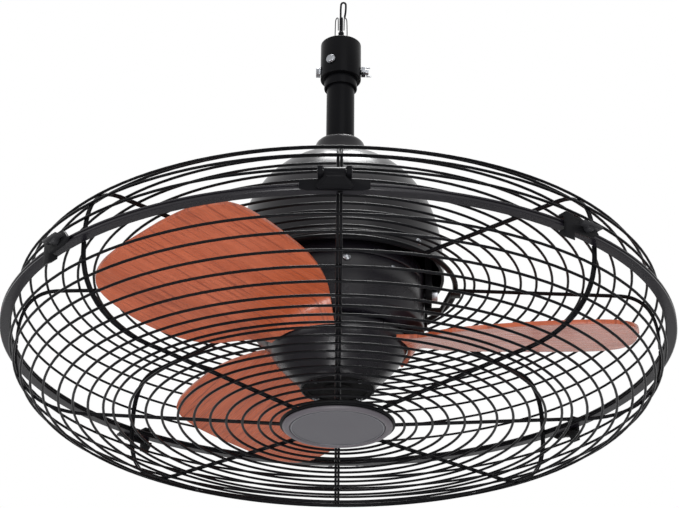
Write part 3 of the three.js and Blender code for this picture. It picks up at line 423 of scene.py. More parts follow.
def cherry_wood():
    """Lacquered cherry, with its grain along the blade."""
    wood = Finish("cherry_wood", Specular_IOR_Level=0.5)
    plan = wood.where("UV")
    bands = wood.noise(wood.stretched(plan, *GRAIN_STRETCH), 1.6, 4.0, 0.6)
    fibre = wood.noise(wood.stretched(plan, *PORE_STRETCH), 1.0, 3.0, 0.55)
    pores = wood.clamp(fibre, *PORE_RANGE)
    body = wood.between(wood.clamp(bands, *GRAIN_RANGE), CHERRY_DARK, CHERRY_LIGHT)
    wood.set(
        Base_Color=wood.between(pores * PORE_STRENGTH, body, CHERRY_PORE),
        Roughness=pores * PORE_DULL + LACQUER,
    )
    wood.bump(pores * -1.0, PORE_DEPTH, 0.4)
    return wood


cherry = cherry_wood()
print("wood nodes:", len(cherry.tree.nodes))

# %% [markdown]
# ## Turning on a lathe
# Half of this fan is turned work: the sleeve, the rod, the bell, the motor and its hub. On
# a lathe one outline makes the whole form, and Blender's Spin does the same. A plane is
# merged to a single vertex, that vertex is extruded along the outline, and the outline is
# spun about the upright axis.

# %% Lathe helpers
WELD = 2e-6


def polish(piece, angle=35):
    """Merges doubled vertices, turns the faces outwards and shades them smooth up to an angle."""
    only(piece)
    bpy.ops.object.mode_set(mode="EDIT")
    bpy.ops.mesh.select_all(action="SELECT")
    bpy.ops.mesh.remove_doubles(threshold=WELD)
    bpy.ops.mesh.normals_make_consistent(inside=False)
    bpy.ops.object.mode_set(mode="OBJECT")
    bpy.ops.object.shade_smooth_by_angle(angle=math.radians(angle))
    return piece


def lathe(profile, closed=False, steps=96, azimuth=0, sweep=360):
    """Spins an outline of (radius, height) points, in drawing mm, about the upright axis."""
    turn = math.radians(azimuth)
    places = [Vector((mm(r) * math.cos(turn), mm(r) * math.sin(turn), up(z))) for r, z in profile]
    if closed:
        places.append(places[0])
    bpy.ops.object.select_all(action="DESELECT")
    bpy.ops.mesh.primitive_plane_add(size=0.001, location=places[0])
    piece = settle(bpy.context.active_object)
    bpy.ops.object.mode_set(mode="EDIT")
    bpy.ops.mesh.select_mode(type="VERT")
    bpy.ops.mesh.select_all(action="SELECT")
    bpy.ops.mesh.merge(type="CENTER")
    for here, there in zip(places, places[1:]):
        bpy.ops.mesh.extrude_vertices_move(TRANSFORM_OT_translate={"value": there - here})
    bpy.ops.mesh.select_all(action="SELECT")
    bpy.ops.mesh.remove_doubles(threshold=WELD)
    bpy.ops.mesh.select_all(action="SELECT")
    bpy.ops.mesh.spin(
        steps=steps, angle=math.radians(sweep), center=(0, 0, 0), axis=(0, 0, 1)
    )
    if sweep < 360:
        bpy.ops.mesh.select_all(action="SELECT")
        bpy.ops.mesh.fill_holes(sides=0)
    return polish(piece)


print("points closer than", WELD, "m become one")

# %% [markdown]
# Turned and pressed metal has soft corners. A Bevel modifier could round them after the
# spin, but it is surer to round the outline first: each corner becomes a short curve that
# leaves both of its sides smoothly.

# %% Rounded outlines
STRAIGHT = -0.97  # cosine between the sides of a corner that counts as straight
MOST_OF_SIDE = 0.45


def rounded(profile, reach, steps=3):
    """Rounds every corner of a closed outline, reaching a given way along its sides."""
    points = [Vector(p) for p in profile]
    count = len(points)
    result = []
    for i, corner in enumerate(points):
        before = points[i - 1] - corner
        after = points[(i + 1) % count] - corner
        if before.normalized().dot(after.normalized()) < STRAIGHT:
            result.append(tuple(corner))
            continue
        way = min(reach, MOST_OF_SIDE * before.length, MOST_OF_SIDE * after.length)
        first = corner + before.normalized() * way
        last = corner + after.normalized() * way
        for k in range(steps + 1):
            t = k / steps
            result.append(tuple(first * (1 - t) ** 2 + corner * 2 * t * (1 - t) + last * t**2))
    return result


print("a square gets", len(rounded([(0, 0), (9, 0), (9, 9), (0, 9)], 2)), "rounded points")

# %% [markdown]
# ## Pressed and cast pieces
# Yoke, clips, buckle, brackets and nuts are right in their CAD solids, so they need not be
# modelled again, but a real pressed or cast piece has no knife edges. A copy of the solid
# is cleaned and its sharp edges get a small bevel, which catches the light as the real one
# does.

# %% Soften helper
FLAT_ANGLE = 0.5


def modifier(piece, kind, **values):
    """Adds a modifier to the piece, sets it and applies it."""
    only(piece)
    bpy.ops.object.modifier_add(type=kind)
    made = piece.modifiers[-1]
    for key, value in values.items():
        setattr(made, key, value)
    bpy.ops.object.modifier_apply(modifier=made.name)
    return piece


def softened(node, width=0.6, segments=2, angle=32):
    """A cleaned copy of a CAD node, with its sharp edges bevelled by a width in mm."""
    piece = bpy.data.objects.new(node, nodes[node].data.copy())
    bpy.context.collection.objects.link(piece)
    only(piece)
    bpy.ops.mesh.customdata_custom_splitnormals_clear()
    bpy.ops.object.mode_set(mode="EDIT")
    bpy.ops.mesh.select_all(action="SELECT")
    bpy.ops.mesh.remove_doubles(threshold=WELD)
    bpy.ops.mesh.dissolve_limited(angle_limit=math.radians(FLAT_ANGLE))
    bpy.ops.object.mode_set(mode="OBJECT")
    modifier(
        piece,
        "BEVEL",
        width=mm(width),
        segments=segments,
        limit_method="ANGLE",
        angle_limit=math.radians(angle),
        use_clamp_overlap=True,
    )
    return polish(piece, 40)


def body_of(node):
    """The body that carries a CAD node."""
    bodies = frame["record"]["behaviour"]["bodies"]
    return next(name for name, members in bodies.items() if node in members)


def dress(piece, node, material):
    """Finishes a piece that stands for one CAD node."""
    return finish_piece(piece, "dressed_" + node, body_of(node), material, [node])


def soften_all(names, material, slot, **how):
    """Softens several nodes alike."""
    for node in names:
        dress(softened(node, **how), node, material)
    print("softened", len(names), "pieces in", slot)


print("the yoke rides on", body_of("yoke"), "and the buckle's lever on", body_of("buckle_lever"))

# %% [markdown]
# ## Round wires
# The cage is bent from round wire. Each ring could be a torus, but it is quicker to stand
# one small circle upright at each ring's radius and to spin all of them in one go. A rib is
# a curve with a round section, turned into a mesh once and copied to its other places.

# %% Wire helpers
WIRE = 2.4


def wire_rings(rings, steps=120, sides=8):
    """Spins one small circle for each (radius, height, thickness) in drawing mm."""
    bpy.ops.object.select_all(action="DESELECT")
    for i, (radius, height, thickness) in enumerate(rings):
        bpy.ops.mesh.primitive_circle_add(
            vertices=sides,
            radius=mm(thickness / 2),
            location=(mm(radius), 0, up(height)),
            rotation=(math.pi / 2, 0, 0),
        )
        if i == 0:
            piece = settle(bpy.context.active_object)
            bpy.ops.object.mode_set(mode="EDIT")
    bpy.ops.mesh.select_all(action="SELECT")
    bpy.ops.mesh.spin(steps=steps, angle=2 * math.pi, center=(0, 0, 0), axis=(0, 0, 1))
    return polish(piece, 60)


def wire_along(points, thickness):
    """A round wire through points in drawing mm, as a mesh."""
    piece, _ = round_line("wire", points, thickness / 2, 2)
    only(piece)
    bpy.ops.object.convert(target="MESH")
    return polish(bpy.context.active_object, 60)


def copy_of(piece, azimuth=0):
    """A copy with its own mesh, turned about the fan's axis."""
    twin = bpy.data.objects.new(piece.name, piece.data.copy())
    bpy.context.collection.objects.link(twin)
    twin.data.transform(Matrix.Rotation(math.radians(azimuth), 4, "Z"))
    return twin


def joined(pieces):
    """Joins several meshes into the first."""
    only(pieces[0])
    for piece in pieces:
        piece.select_set(True)
    bpy.ops.object.join()
    return bpy.context.active_object


print("guard wire:", WIRE, "mm")

# %% [markdown]
# ## Wire guards
# Each guard is a nearly flat floor and a bend, a quarter of a superellipse, that runs down
# into the band. Eight ribs, each a pair of wires side by side, carry the rings, which are
# spot welded to the outside. The lower guard ends at a small plate over the badge, the
# upper one at a thick ring round the motor.

# %% Guard curves
RIM = 288.5
EDGE_Z = 1.05
RING_PITCH = 14.1
RING_SINK = 0.25  # spot welds press a ring a little into the ribs
RIB_SPREAD = 1.35
KNEE_EASE = 12
SHORT_STEP = 0.4  # the last step, as a share of a pitch
GUARDS = {
    "lower_guard": dict(side=-1, crown=74.5, fall=7, inner=50, knee=205, bend=2.45),
    "upper_guard": dict(side=1, crown=57, fall=4, inner=106, knee=249, bend=2.7),
}


def floor_point(form, r):
    """A point (radius, height) of the nearly flat floor of a guard."""
    share = (r - form["inner"]) / (form["knee"] - form["inner"])
    return Vector((r, form["side"] * (form["crown"] - form["fall"] * share)))


def bend_point(form, angle):
    """A point of the bend, from the knee at 0 degrees to the rim at 90."""
    height = form["crown"] - form["fall"] - EDGE_Z
    power = 2 / form["bend"]
    sine, cosine = math.sin(math.radians(angle)), abs(math.cos(math.radians(angle)))
    return Vector(
        (
            form["knee"] + (RIM - form["knee"]) * sine**power,
            form["side"] * (EDGE_Z + height * cosine**power),
        )
    )


def bend_angles(form):
    """Angles of the rings in the bend, evenly spaced along it."""
    lengths = [0]
    for angle in range(1, 91):
        lengths.append(lengths[-1] + (bend_point(form, angle) - bend_point(form, angle - 1)).length)
    count = round(lengths[90] / RING_PITCH)
    pitch = lengths[90] / (count + SHORT_STEP)
    return [next(a for a in range(91) if lengths[a] >= i * pitch) for i in range(count)]


def ring_place(form, here, there):
    """Where a ring lies on the outside of the ribs."""
    along = (there - here).normalized()
    outward = Vector((-along.y, along.x)) * form["side"]
    return here + outward * (WIRE - RING_SINK)


print("rings in the bends:", {node: len(bend_angles(form)) for node, form in GUARDS.items()})

# %% Guard wires


def guard_ring_list(form, radii):
    """Radius, height and thickness of every ring, on the floor and in the bend."""
    pairs = [(floor_point(form, r), floor_point(form, r + 1)) for r in radii]
    pairs += [(bend_point(form, a), bend_point(form, a + 1)) for a in bend_angles(form)]
    return [(*ring_place(form, here, there), WIRE) for here, there in pairs]


def rib_pairs(form):
    """Eight pairs of bent wires."""
    line = [floor_point(form, r) for r in (form["inner"], form["knee"] - KNEE_EASE)]
    line += [bend_point(form, angle) for angle in range(0, 91, 6)]
    pair = [
        wire_along([(r, side * RIB_SPREAD, z) for r, z in line], WIRE) for side in (-1, 1)
    ]
    rib = joined(pair)
    return [rib] + [copy_of(rib, 45 * i) for i in range(1, 8)]


def stepped(first, last):
    """Radii of the floor's rings, one pitch apart."""
    radii = [first]
    while radii[-1] + RING_PITCH < last - SHORT_STEP * RING_PITCH:
        radii.append(radii[-1] + RING_PITCH)
    return radii


RIM_RING_R, RIM_WIRE, EYE_WIRE = 290.85, 1.9, 5
lower, upper = GUARDS["lower_guard"], GUARDS["upper_guard"]
lower_rings = guard_ring_list(lower, [58.9] + stepped(69.4, lower["knee"]))
upper_rings = guard_ring_list(upper, [114.6, 123.2] + stepped(136.9, upper["knee"]))
lower_rings.append((RIM_RING_R, -EDGE_Z, RIM_WIRE))
upper_rings.append((RIM_RING_R, EDGE_Z, RIM_WIRE))
upper_rings.append((upper["inner"], upper["crown"], EYE_WIRE))
print("rings: lower", len(lower_rings), "upper", len(upper_rings))

# %% [markdown]
# The small plate of the lower guard is turned, with a folded edge, and its ribs end on it.

# %% Join the guards
plate = lathe(
    rounded([(42, -75.7), (51, -75.7), (51, -73.3), (42, -73.3)], 0.7), closed=True
)
lower_cage = joined([wire_rings(lower_rings), plate] + rib_pairs(lower))
upper_cage = joined([wire_rings(upper_rings)] + rib_pairs(upper))
for cage, node in ((lower_cage, "lower_guard"), (upper_cage, "upper_guard")):
    finish_piece(cage, node + "_wires", "head", black.material, [node])
    print(cage.name, len(cage.data.polygons), "faces")

# %% [markdown]
# ## Channel band
# A rolled channel clamps the two guards at the rim. Its outer face has two round beads with
# a groove between them, and it is open at the front, under the buckle, so the outline is
# spun through a little less than a full turn.

# %% Channel band
BUCKLE_AZIMUTH = 269.3
BAND_R, SPLIT_WIDTH = 300, 4
SPLIT = math.degrees(SPLIT_WIDTH / BAND_R)
BAND_HALF, HOLLOW_HALF = 2.7, 2.1
LIP_R, WEB_R = 290.8, 298.2
bead = [(299.2, -BAND_HALF), (BAND_R, -2.1), (BAND_R, -1), (298.9, -0.35)]
band_outline = [(LIP_R, -BAND_HALF), *bead, *[(r, -z) for r, z in bead[::-1]], (LIP_R, BAND_HALF)]
band_outline += [(LIP_R, HOLLOW_HALF), (WEB_R, HOLLOW_HALF)]
band_outline += [(WEB_R, -HOLLOW_HALF), (LIP_R, -HOLLOW_HALF)]
band = lathe(
    band_outline, closed=True, steps=180, azimuth=BUCKLE_AZIMUTH + SPLIT / 2, sweep=360 - SPLIT
)
finish_piece(band, "channel_band", "head", satin.material, ["guard_band"])
print("band", [round(v, 4) for v in band.dimensions])

# %% [markdown]
# ## Bell housing
# The bell is spun sheet: a dome whose sides fall steeply and whose crown runs up into a
# short neck round the rod. The neck has a rolled lip. A flattened sphere would have too
# soft a shoulder, so the dome is a superellipse, and its outline follows the same curve
# outside and inside, a sheet's thickness apart.

# %% Bell housing
BELL_R, BELL_RIM_Z, BELL_DOME_H, BELL_WALL = 96, 66, 126, 2.4
DOME_POWER_UP, DOME_POWER_OUT = 2.4, 2.2
NECK_H, ROD_HOLE_R = 17.6, 13.65
NECK_TOP = BELL_RIM_Z + BELL_DOME_H + NECK_H


def dome(share, wall=0):
    """A point of the dome at a share of its height."""
    radius = (BELL_R - wall) * (1 - share**DOME_POWER_UP) ** (1 / DOME_POWER_OUT)
    return radius, BELL_RIM_Z + share * (BELL_DOME_H - wall)


def dome_share(radius, wall=0):
    """The share of the dome's height at which it has a radius."""
    return (1 - (radius / (BELL_R - wall)) ** DOME_POWER_OUT) ** (1 / DOME_POWER_UP)


def dome_line(radius, wall=0, count=26):
    """The dome's outline from its rim up to a radius, with closer points near the top."""
    top = dome_share(radius, wall)
    return [dome(top * (1 - (1 - i / count) ** 1.6), wall) for i in range(count + 1)]


bell_top = BELL_RIM_Z + BELL_DOME_H
bell_outline = dome_line(27.6)
bell_outline += [(25.6, bell_top + 3.5), (24.3, bell_top + 8), (23.6, bell_top + 12.5)]
bell_outline += [(22.8, bell_top + 15.2), (21.6, bell_top + 16.6)]
bell_outline += [(20, NECK_TOP), (14.4, NECK_TOP), (ROD_HOLE_R, NECK_TOP - 0.8)]
bell_outline += [(ROD_HOLE_R, NECK_TOP - 6.6), (21.2, NECK_TOP - 6.6)]
bell_outline += dome_line(21.6, BELL_WALL)[::-1]
bell = lathe(bell_outline, closed=True, steps=144)
finish_piece(bell, "bell_shell", "mast", bronze.material, ["bell_housing"])
print("bell", [round(v, 4) for v in bell.dimensions])

# %% [markdown]
# ## Sleeve, rod and collar
# The coupling is a steel sleeve with rounded ends, the rod a length of pipe, and the collar
# a turned ring that closes the sleeve's lower end. All three are one small table of sizes
# and one loop, because each is only a rectangle that is spun.

# %% Sleeve, rod and collar
turned_pieces = {  # inner radius, outer radius, lower end, upper end, rounding
    "coupling": (ROD_HOLE_R, 19.5, 280, HANG, 1.0),
    "down_rod": (10.45, 13.35, 180.7, 298, 0.5),
    "rod_collar": (ROD_HOLE_R, 15.8, 269.7, 279.7, 0.9),
}
for node, (inner, outer, bottom, top, reach) in turned_pieces.items():
    outline = [(inner, bottom), (outer, bottom), (outer, top), (inner, top)]
    piece = lathe(rounded(outline, reach), closed=True)
    finish_piece(piece, "turned_" + node, "mast", black.material, [node])

# %% [markdown]
# ## Motor shell
# The motor is a deep pressed can, closed by a domed cover. The joint between them shows as
# a dark seam. Both are turned with soft corners, because pressed sheet never turns sharply.

# %% Motor can and cover
CAN_R, CAN_FLOOR, CAN_TOP = 77.4, 7, 57.2
can_outline = [(9.5, CAN_FLOOR), (66, CAN_FLOOR), (CAN_R, 13), (CAN_R, CAN_TOP)]
can_outline += [(74.9, CAN_TOP), (74.9, 14.4), (65.2, 9.5), (17.3, 9.5)]
can_outline += [(17.3, 21), (13.3, 21), (13.3, 9.5), (9.5, 9.5)]
cover_outline = [(74.9, 57.5), (CAN_R, 57.5), (CAN_R, 66), (75, 73.2), (69, 80.1), (61, 84)]
cover_outline += [(5, 84), (5, 79), (13.3, 79), (13.3, 67.5), (17.3, 67.5), (17.3, 81.5)]
cover_outline += [(60, 81.5), (66.8, 77.6), (72.6, 72.6), (74.9, 66)]
can = lathe(rounded(can_outline, 1.6, steps=4), closed=True, steps=144)
finish_piece(can, "motor_shell", "head", satin.material, ["motor_can"])
cover = lathe(rounded(cover_outline, 2.4, steps=4), closed=True, steps=144)
finish_piece(cover, "motor_dome", "head", satin.material, ["motor_top_cover"])
print("motor", [round(v, 4) for v in can.dimensions])

# %% [markdown]
# ## Blade hub
# The hub is a cast cup: steep at the top, where the blades join it, then drawn in to a
# small round foot. Its side is one smooth curve through a few measured points. The foot has
# a recess with a round cap, held by four screws.

# %% Hub and its cap
HUB_R = 62.6
CAP_Z = -41.6
hub_points = [(HUB_R, 1.3), (61.3, -4.2), (57.4, -12.2)]
hub_points += [(47.6, -23.9), (36.4, -34.9), (33.5, -41.4)]
hub_side = [(p.x, p.y) for p in smooth_route([Vector(p) for p in hub_points], 6)]
hub_outline = [(61.6, 4.2), *hub_side, (32.9, -42), (31.9, -42), (31.4, -41.5), (31.4, -38.7)]
hub_outline += [(12, -38.7), (12, -27.7), (5.3, -27.7), (5.3, -21.7), (8.3, -21.7), (8.3, 4.2)]
hub = lathe(hub_outline, closed=True, steps=144)
finish_piece(hub, "hub_cup", "rotor", satin.material, ["blade_hub"])
cap_outline = [(0, -39), (31.1, -39), (31.1, -41.2), (30.7, CAP_Z), (27, CAP_Z), (26.4, -41)]
cap_outline += [(13.6, -41), (13, CAP_Z), (0, CAP_Z)]
cap = lathe(cap_outline)
finish_piece(cap, "hub_cap_disc", "rotor", plastic.material, ["hub_cap"])
print("hub", [round(v, 4) for v in hub.dimensions])

# %% [markdown]
# ## Blades
# A blade is a thin twisted board. In plan it is given by rows from root to tip, each with
# its leading and trailing edge. A grid is laid out along those rows, a Solidify modifier
# gives it its thickness and a Bevel rounds its edges. Before the blade is turned to its
# place, its plan is written into its UV map, so that the grain runs along each blade.

# %% Blade rows
BLADE_TIP, BLADE_WIDTH, BLADE_THICK = 266, 150, 3.6
BLADE_ANGLES = (17, 14)
BLADE_AZIMUTH = -5
BLADE_ROWS = [
    ((0.034, 0.263), (0.051, -0.26)),
    ((0.164, 0.347), (0.189, -0.433)),
    ((0.331, 0.41), (0.336, -0.513)),
    ((0.508, 0.44), (0.518, -0.547)),
    ((0.685, 0.453), (0.7, -0.54)),
    ((0.838, 0.44), (0.838, -0.507)),
    ((0.926, 0.38), (0.926, -0.44)),
    ((0.98, 0.253), (0.98, -0.32)),
    ((1, 0.08), (1, -0.16)),
]
BLADE_COLUMNS = 24
ROW_STEPS = 6
ROOT_BULGE = 4.5
BLADE_ROUND = 1.1
CUFF_ANGLE, CUFF_REACH, CUFF_Z = 32, 1.1, -8


def blade_point(lead, trail, across, bulge=0):
    """A point of the board's middle, between a row's leading and trailing edge."""
    share = lead[0] + (trail[0] - lead[0]) * across
    side = (lead[1] + (trail[1] - lead[1]) * across) * BLADE_WIDTH
    slope = math.tan(math.radians(BLADE_ANGLES[0] + (BLADE_ANGLES[1] - BLADE_ANGLES[0]) * share))
    along = HUB_R + share * (BLADE_TIP - HUB_R) + bulge * math.sin(math.pi * across)
    return Vector((along, side, 1 + slope * side + BLADE_THICK / 2))


def cuff_point(across):
    """The root's edge, which lies against the hub's side."""
    angle = math.radians(CUFF_ANGLE) * (1 - 2 * across)
    radius = HUB_R + CUFF_REACH
    height = CUFF_Z + BLADE_THICK / 2
    return Vector((radius * math.cos(angle), radius * math.sin(angle), height))


def blade_lines():
    """Rows of points from the root's edge to the tip, closely spaced."""
    columns = [i / BLADE_COLUMNS for i in range(BLADE_COLUMNS + 1)]
    coarse = [[cuff_point(a) for a in columns]]
    for i, (lead, trail) in enumerate(BLADE_ROWS):
        bulge = ROOT_BULGE if i == 0 else 0
        coarse.append([blade_point(lead, trail, a, bulge) for a in columns])
    by_column = [smooth_route([row[c] for row in coarse], ROW_STEPS) for c in range(len(columns))]
    return [[column[r] for column in by_column] for r in range(len(by_column[0]))]


rows = blade_lines()
print("blade grid:", len(rows), "x", len(rows[0]))

# %% Blade board


def blade_board():
    """One blade along +X, with its plan in its UV map."""
    bpy.ops.object.select_all(action="DESELECT")
    bpy.ops.mesh.primitive_grid_add(
        x_subdivisions=BLADE_COLUMNS, y_subdivisions=len(rows) - 1, size=0.2
    )
    board = settle(bpy.context.active_object)
    flat = sorted(board.data.vertices, key=lambda v: (round(v.co.y, 5), v.co.x))
    width = BLADE_COLUMNS + 1
    for k, vertex in enumerate(flat):
        x, y, z = rows[k // width][k % width]
        vertex.co = (mm(x), mm(y), up(z))
    plan = board.data.uv_layers.active.data
    for loop in board.data.loops:
        x, y, _ = board.data.vertices[loop.vertex_index].co
        plan[loop.index].uv = (x, y)
    polish(board, 60)
    modifier(board, "SOLIDIFY", thickness=mm(BLADE_THICK), offset=0)
    modifier(
        board,
        "BEVEL",
        width=mm(BLADE_ROUND),
        segments=3,
        limit_method="ANGLE",
        angle_limit=math.radians(50),
    )
    return polish(board, 50)


board = blade_board()
for i in range(3):
    blade = board if i == 2 else copy_of(board)
    blade.data.transform(Matrix.Rotation(math.radians(BLADE_AZIMUTH + 120 * i), 4, "Z"))
    node = "blade_" + str(i + 1)
    finish_piece(blade, node + "_board", "rotor", cherry.material, [node])

# %% [markdown]
# ## Badge
# Under the guard sits a round badge: a bevelled plastic ring, a fine bright edge and a
# plain grey disc. They are turned apart, because each has a finish of its own.

# %% Badge
BADGE_TOP, BADGE_FACE = -76, -78.4
ring_outline = [(42.2, BADGE_FACE), (43.4, -79.2), (46.4, -79.2)]
ring_outline += [(48.7, -77.4), (48.7, BADGE_TOP), (42.2, BADGE_TOP)]
badge_ring = lathe(rounded(ring_outline, 0.8), closed=True, steps=144)
finish_piece(badge_ring, "badge_ring", "head", badge_frame.material, ["badge_rim"])
face_outline = [(0, -76.4), (41.9, -76.4), (41.9, -78.1), (41.5, BADGE_FACE), (0, BADGE_FACE)]
badge_face = lathe(face_outline, steps=144)
finish_piece(badge_face, "badge_face", "head", grey.material, ["badge_disc"])
edge_outline = [(40.4, BADGE_FACE), (41.1, BADGE_FACE), (41.1, -78.75), (40.4, -78.75)]
badge_edge = lathe(edge_outline, closed=True, steps=144)
finish_piece(badge_edge, "badge_bright_edge", "head", zinc.material)
print("badge", [round(v, 4) for v in badge_ring.dimensions])

# %% [markdown]
# ## Yoke, brackets, clips and buckle
# These are pressed steel, cast metal and moulded plastic pieces. Each keeps its CAD form
# and gets the rounded edges of its own trade: wide on the casting, fine on the sheet.

# %% Yoke, brackets and buckle base
soften_all(["yoke"], black.material, "black_enamel", width=1.2, segments=3)
brackets = ["guard_bracket_left", "guard_bracket_right"]
soften_all(brackets, black.material, "black_enamel", width=0.5)
soften_all(["buckle_base"], black.material, "black_enamel", width=0.35)

# %% [markdown]
# The buckle's lever has a sunk panel in its face as well. One inset leaves the panel's
# frame, and a second, pushed in, makes its sloping walls.

# %% Buckle lever


def sunk_panel(piece, margin, depth):
    """Insets the widest face that looks along -Y, and pushes the middle in, all in mm."""
    only(piece)
    bpy.ops.object.mode_set(mode="EDIT")
    bpy.ops.mesh.select_mode(type="FACE")
    bpy.ops.mesh.select_all(action="DESELECT")
    bpy.ops.object.mode_set(mode="OBJECT")
    front = [face for face in piece.data.polygons if face.normal.y < -0.8]
    max(front, key=lambda face: face.area).select = True
    bpy.ops.object.mode_set(mode="EDIT")
    bpy.ops.mesh.inset(thickness=mm(margin), depth=0)
    bpy.ops.mesh.inset(thickness=mm(depth), depth=-mm(depth))
    bpy.ops.object.mode_set(mode="OBJECT")
    return polish(piece, 40)


lever = sunk_panel(softened("buckle_lever", width=0.35), 1.8, 0.5)
dress(lever, "buckle_lever", black.material)
print("lever", [round(v, 4) for v in lever.dimensions])

# %% Clips and gears
clips = ["clip_" + str(i) for i in range(1, 5)]
soften_all(clips, plastic.material, "black_plastic", width=0.6)
clip_screws = ["clip_screw_" + str(i) for i in range(1, 5)]
soften_all(clip_screws, blacked.material, "steel", width=0.4, angle=50)
gears = ["orbit_gear", "drive_pinion"]
soften_all(gears, brass.material, "brass", width=0.2, segments=1, angle=50)

# %% [markdown]
# ## Bolts, nuts and screws
# The bright zinc fasteners are what sparkles in the photograph. Nuts and bolts keep their
# CAD form with bevelled corners. The small pan-head screws are new: a disc is raised by
# insets to a dome, and the middle is pushed in for the driver.

# %% Zinc fasteners
zinc_nodes = ["coupling_bolt", "coupling_nut", "pivot_bolt_left", "pivot_bolt_right"]
zinc_nodes += ["pivot_nut_left", "pivot_nut_right", "hub_nut", "set_screw"]
soften_all(zinc_nodes, zinc.material, "zinc", width=0.35, angle=42)
soften_all(["buckle_pin"], blacked.material, "zinc", width=0.35, angle=42)

# %% Pan screw
SCREW_R, SCREW_H = 3.3, 2.2
SCREW_SIDE = 0.6  # upright side, as a share of the height
SCREW_STEPS = ((0.22, 0.26), (0.28, 0.14), (0.14, -0.5), (0.1, 0))  # insets and lifts


def pan_screw(radius, height):
    """A pan-head screw that looks along +Z from the origin, by insets and lifts."""
    bpy.ops.object.select_all(action="DESELECT")
    bpy.ops.mesh.primitive_cylinder_add(
        vertices=24,
        radius=mm(radius),
        depth=mm(height * SCREW_SIDE),
        location=(0, 0, mm(height * SCREW_SIDE / 2)),
    )
    head = settle(bpy.context.active_object)
    bpy.ops.object.mode_set(mode="EDIT")
    bpy.ops.mesh.select_mode(type="FACE")
    bpy.ops.mesh.select_all(action="DESELECT")
    bpy.ops.object.mode_set(mode="OBJECT")
    for face in head.data.polygons:
        face.select = face.normal.z > 0.9
    bpy.ops.object.mode_set(mode="EDIT")
    for share, lift in SCREW_STEPS:
        bpy.ops.mesh.inset(thickness=mm(radius * share), depth=0)
        bpy.ops.transform.translate(value=(0, 0, mm(height * lift)))
    bpy.ops.object.mode_set(mode="OBJECT")
    return polish(head, 50)


screw = pan_screw(SCREW_R, SCREW_H)
print("screw head", len(screw.data.polygons), "faces")

# %% [markdown]
# Each screw is a copy, turned so that it looks outwards, and set on the surface that it
# holds: four in the hub's cap, four in the motor's side, two in the bell and two in the
# band's far joint.

# %% Place the screws


def on_side(radius, azimuth, height, size=1.0):
    """A place on an upright round wall and the way out of it."""
    turn = math.radians(azimuth)
    out = Vector((math.cos(turn), math.sin(turn), 0))
    return (radius * out.x, radius * out.y, height), out, size


down = Vector((0, 0, -1))
CAP_SCREW, SEAT_R, BELL_SCREW_R = 19.7, CAN_R - 0.2, 94.8
corners = [(x, y) for x in (-CAP_SCREW, CAP_SCREW) for y in (-CAP_SCREW, CAP_SCREW)]
can_screws = [(-85, 52, 1.1), (-52, 50, 0.7), (90, 52, 1.0), (128, 50, 0.7)]
screw_places = [((x, y, CAP_Z + 0.5), down, 0.95, "rotor") for x, y in corners]
screw_places += [(*on_side(SEAT_R, *seat), "head") for seat in can_screws]
screw_places += [(*on_side(BELL_SCREW_R, azimuth, 73), "mast") for azimuth in (-43, 137)]
screw_places += [((x, 293.6, -5.4), down, 0.75, "head") for x in (-7, 21)]
for i, (place, way, size, body) in enumerate(screw_places):
    head = copy_of(screw)
    turn = way.to_track_quat("Z", "Y").to_matrix().to_4x4()
    head.data.transform(turn @ Matrix.Scale(size, 4))
    head.data.transform(Matrix.Translation((mm(place[0]), mm(place[1]), up(place[2]))))
    finish_piece(head, "pan_screw_" + str(i + 1), body, zinc.material)
bpy.data.objects.remove(screw)
print(len(screw_places), "screws")

# %% [markdown]
# ## Lead bush and bundle
# A pale bush with a cone-shaped end guards the leads where they leave the rod. A dark
# sleeve closes on the cone, and above it the leads stand as one bundle, wound with tape.

# %% Lead bush and bundle
BUSH_R, BUSH_FOOT, CONE_TOP = 4.3, 298.3, 326.6
bush_outline = [(0, BUSH_FOOT), (12.6, BUSH_FOOT), (12.95, 298.7), (12.95, 301)]
bush_outline += [(12.4, 301.4), (4.8, 303.1), (BUSH_R, 303.8), (BUSH_R, 323)]
bush_outline += [(2.6, CONE_TOP), (0, CONE_TOP)]
bush_piece = lathe(bush_outline, steps=48)
finish_piece(bush_piece, "lead_guide", "mast", bush.material, ["lead_bush"])

sleeve_outline = [(0, CONE_TOP - 0.2), (2.5, CONE_TOP - 0.2), (2.8, 328), (2.6, 331)]
sleeve_outline += [(2.8, 334.6), (2.4, 335.2), (0, 335.2)]
sleeve = lathe(sleeve_outline, steps=32)
finish_piece(sleeve, "lead_sleeve", "mast", sheath.material)

WINDINGS, WINDING_PITCH = 6, 2.8
bundle_outline = [(0, 335.3), (1.7, 335.3)]
for i in range(WINDINGS):
    foot = 335.9 + WINDING_PITCH * i
    bundle_outline += [(1.8, foot), (1.8, foot + 1.6), (1.6, foot + 2)]
bundle_outline += [(1.7, 352.3), (0, 352.3)]
bundle = lathe(bundle_outline, steps=32)
finish_piece(bundle, "lead_wrap", "mast", sheath.material, ["lead_bundle"])
print("bush", len(bush_piece.data.polygons), "bundle", len(bundle.data.polygons), "faces")

# %% [markdown]
# ## Floor, backdrop and light
# The fan was photographed against pure white. The world is white wherever the camera or a
# reflection looks at it, but lights the fan only gently. Five soft lamps do the rest: the
# key at the left, a fill at the right, a high and a low one in front, and one over the
# bell's crown. Large lamps give the enamel broad, soft highlights.

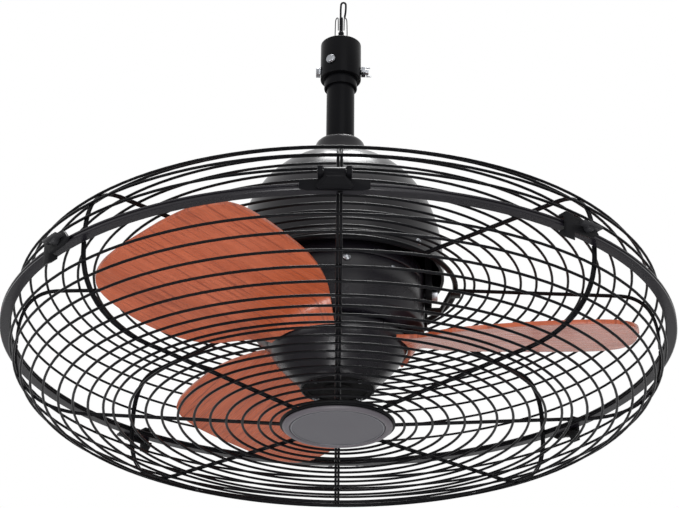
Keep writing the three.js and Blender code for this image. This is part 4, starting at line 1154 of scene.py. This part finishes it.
# %% Floor and world
FLOOR_Z, FLOOR_SIZE = -2.4, 14
WORLD_LIGHT, WORLD_SEEN = 0.5, 1.0
bpy.ops.mesh.primitive_plane_add(size=FLOOR_SIZE, location=(0, 0, FLOOR_Z))
floor = bpy.context.active_object
floor.name = "studio_floor"
pale = Finish("studio_floor", Roughness=0.9)
pale.set(Base_Color=(0.8, 0.8, 0.8))
floor.data.materials.append(pale.material)
floor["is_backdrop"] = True

world = bpy.data.worlds.new("studio")
bpy.context.scene.world = world
world.use_nodes = True
tree = world.node_tree
path = tree.nodes.new("ShaderNodeLightPath")


def either(first, second):
    """1 where either socket is 1."""
    larger = tree.nodes.new("ShaderNodeMath")
    larger.operation = "MAXIMUM"
    tree.links.new(first, larger.inputs[0])
    tree.links.new(second, larger.inputs[1])
    return larger.outputs[0]


seen = either(path.outputs["Is Camera Ray"], path.outputs["Is Transmission Ray"])
seen = either(seen, path.outputs["Is Glossy Ray"])
level = tree.nodes.new("ShaderNodeMapRange")
level.inputs["To Min"].default_value = WORLD_LIGHT
level.inputs["To Max"].default_value = WORLD_SEEN
tree.links.new(seen, level.inputs["Value"])
background = tree.nodes["Background"]
background.inputs["Color"].default_value = (1, 1, 1, 1)
tree.links.new(level.outputs[0], background.inputs["Strength"])
print("world nodes:", len(tree.nodes))

# %% Lamps
AIM = Vector((0, 0, up(40)))
LAMPS = {  # place in metres, size in metres, power in watts
    "key_left": ((-1.6, -1.5, -0.6), 1.2, 16),
    "fill_right": ((0.85, -1.9, -1.05), 0.8, 12),
    "front_high": ((0.45, -1.6, 0.55), 1.0, 4),
    "front_low": ((-0.1, -0.8, -1.9), 0.5, 14),
    "crown": ((0.08, 0.25, 1.3), 0.6, 30),
}
for name, (place, size, power) in LAMPS.items():
    bpy.ops.object.light_add(type="AREA", location=place)
    lamp = bpy.context.active_object
    lamp.name = name
    lamp.data.size = size
    lamp.data.energy = power
    lamp.rotation_euler = (AIM - Vector(place)).to_track_quat("-Z", "Y").to_euler()
print(len(LAMPS), "lamps")

# %% [markdown]
# ## Finishes for the pieces that stay
# Inner pieces, such as bearings and the stator, keep their CAD solids. Each gets the finish
# of its material slot.

# %% Slots
by_slot = {
    "black_enamel": black,
    "bronze_enamel": bronze,
    "black_plastic": plastic,
    "zinc": zinc,
    "steel": steel,
    "brass": brass,
    "winding": winding,
    "cherry_blade": cherry,
    "badge_grey": grey,
    "pale_bush": bush,
    "lead_sheath": sheath,
}
for part in frame["record"]["subparts"]:
    mesh = nodes[part["node"]].data
    mesh.materials.clear()
    mesh.materials.append(by_slot[part["material_slot"]].material)

size = {"cad": [list(c) for c in cad_box], "visual": [list(c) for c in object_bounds()]}
print({name: [[round(v, 4) for v in corner] for corner in box] for name, box in size.items()})
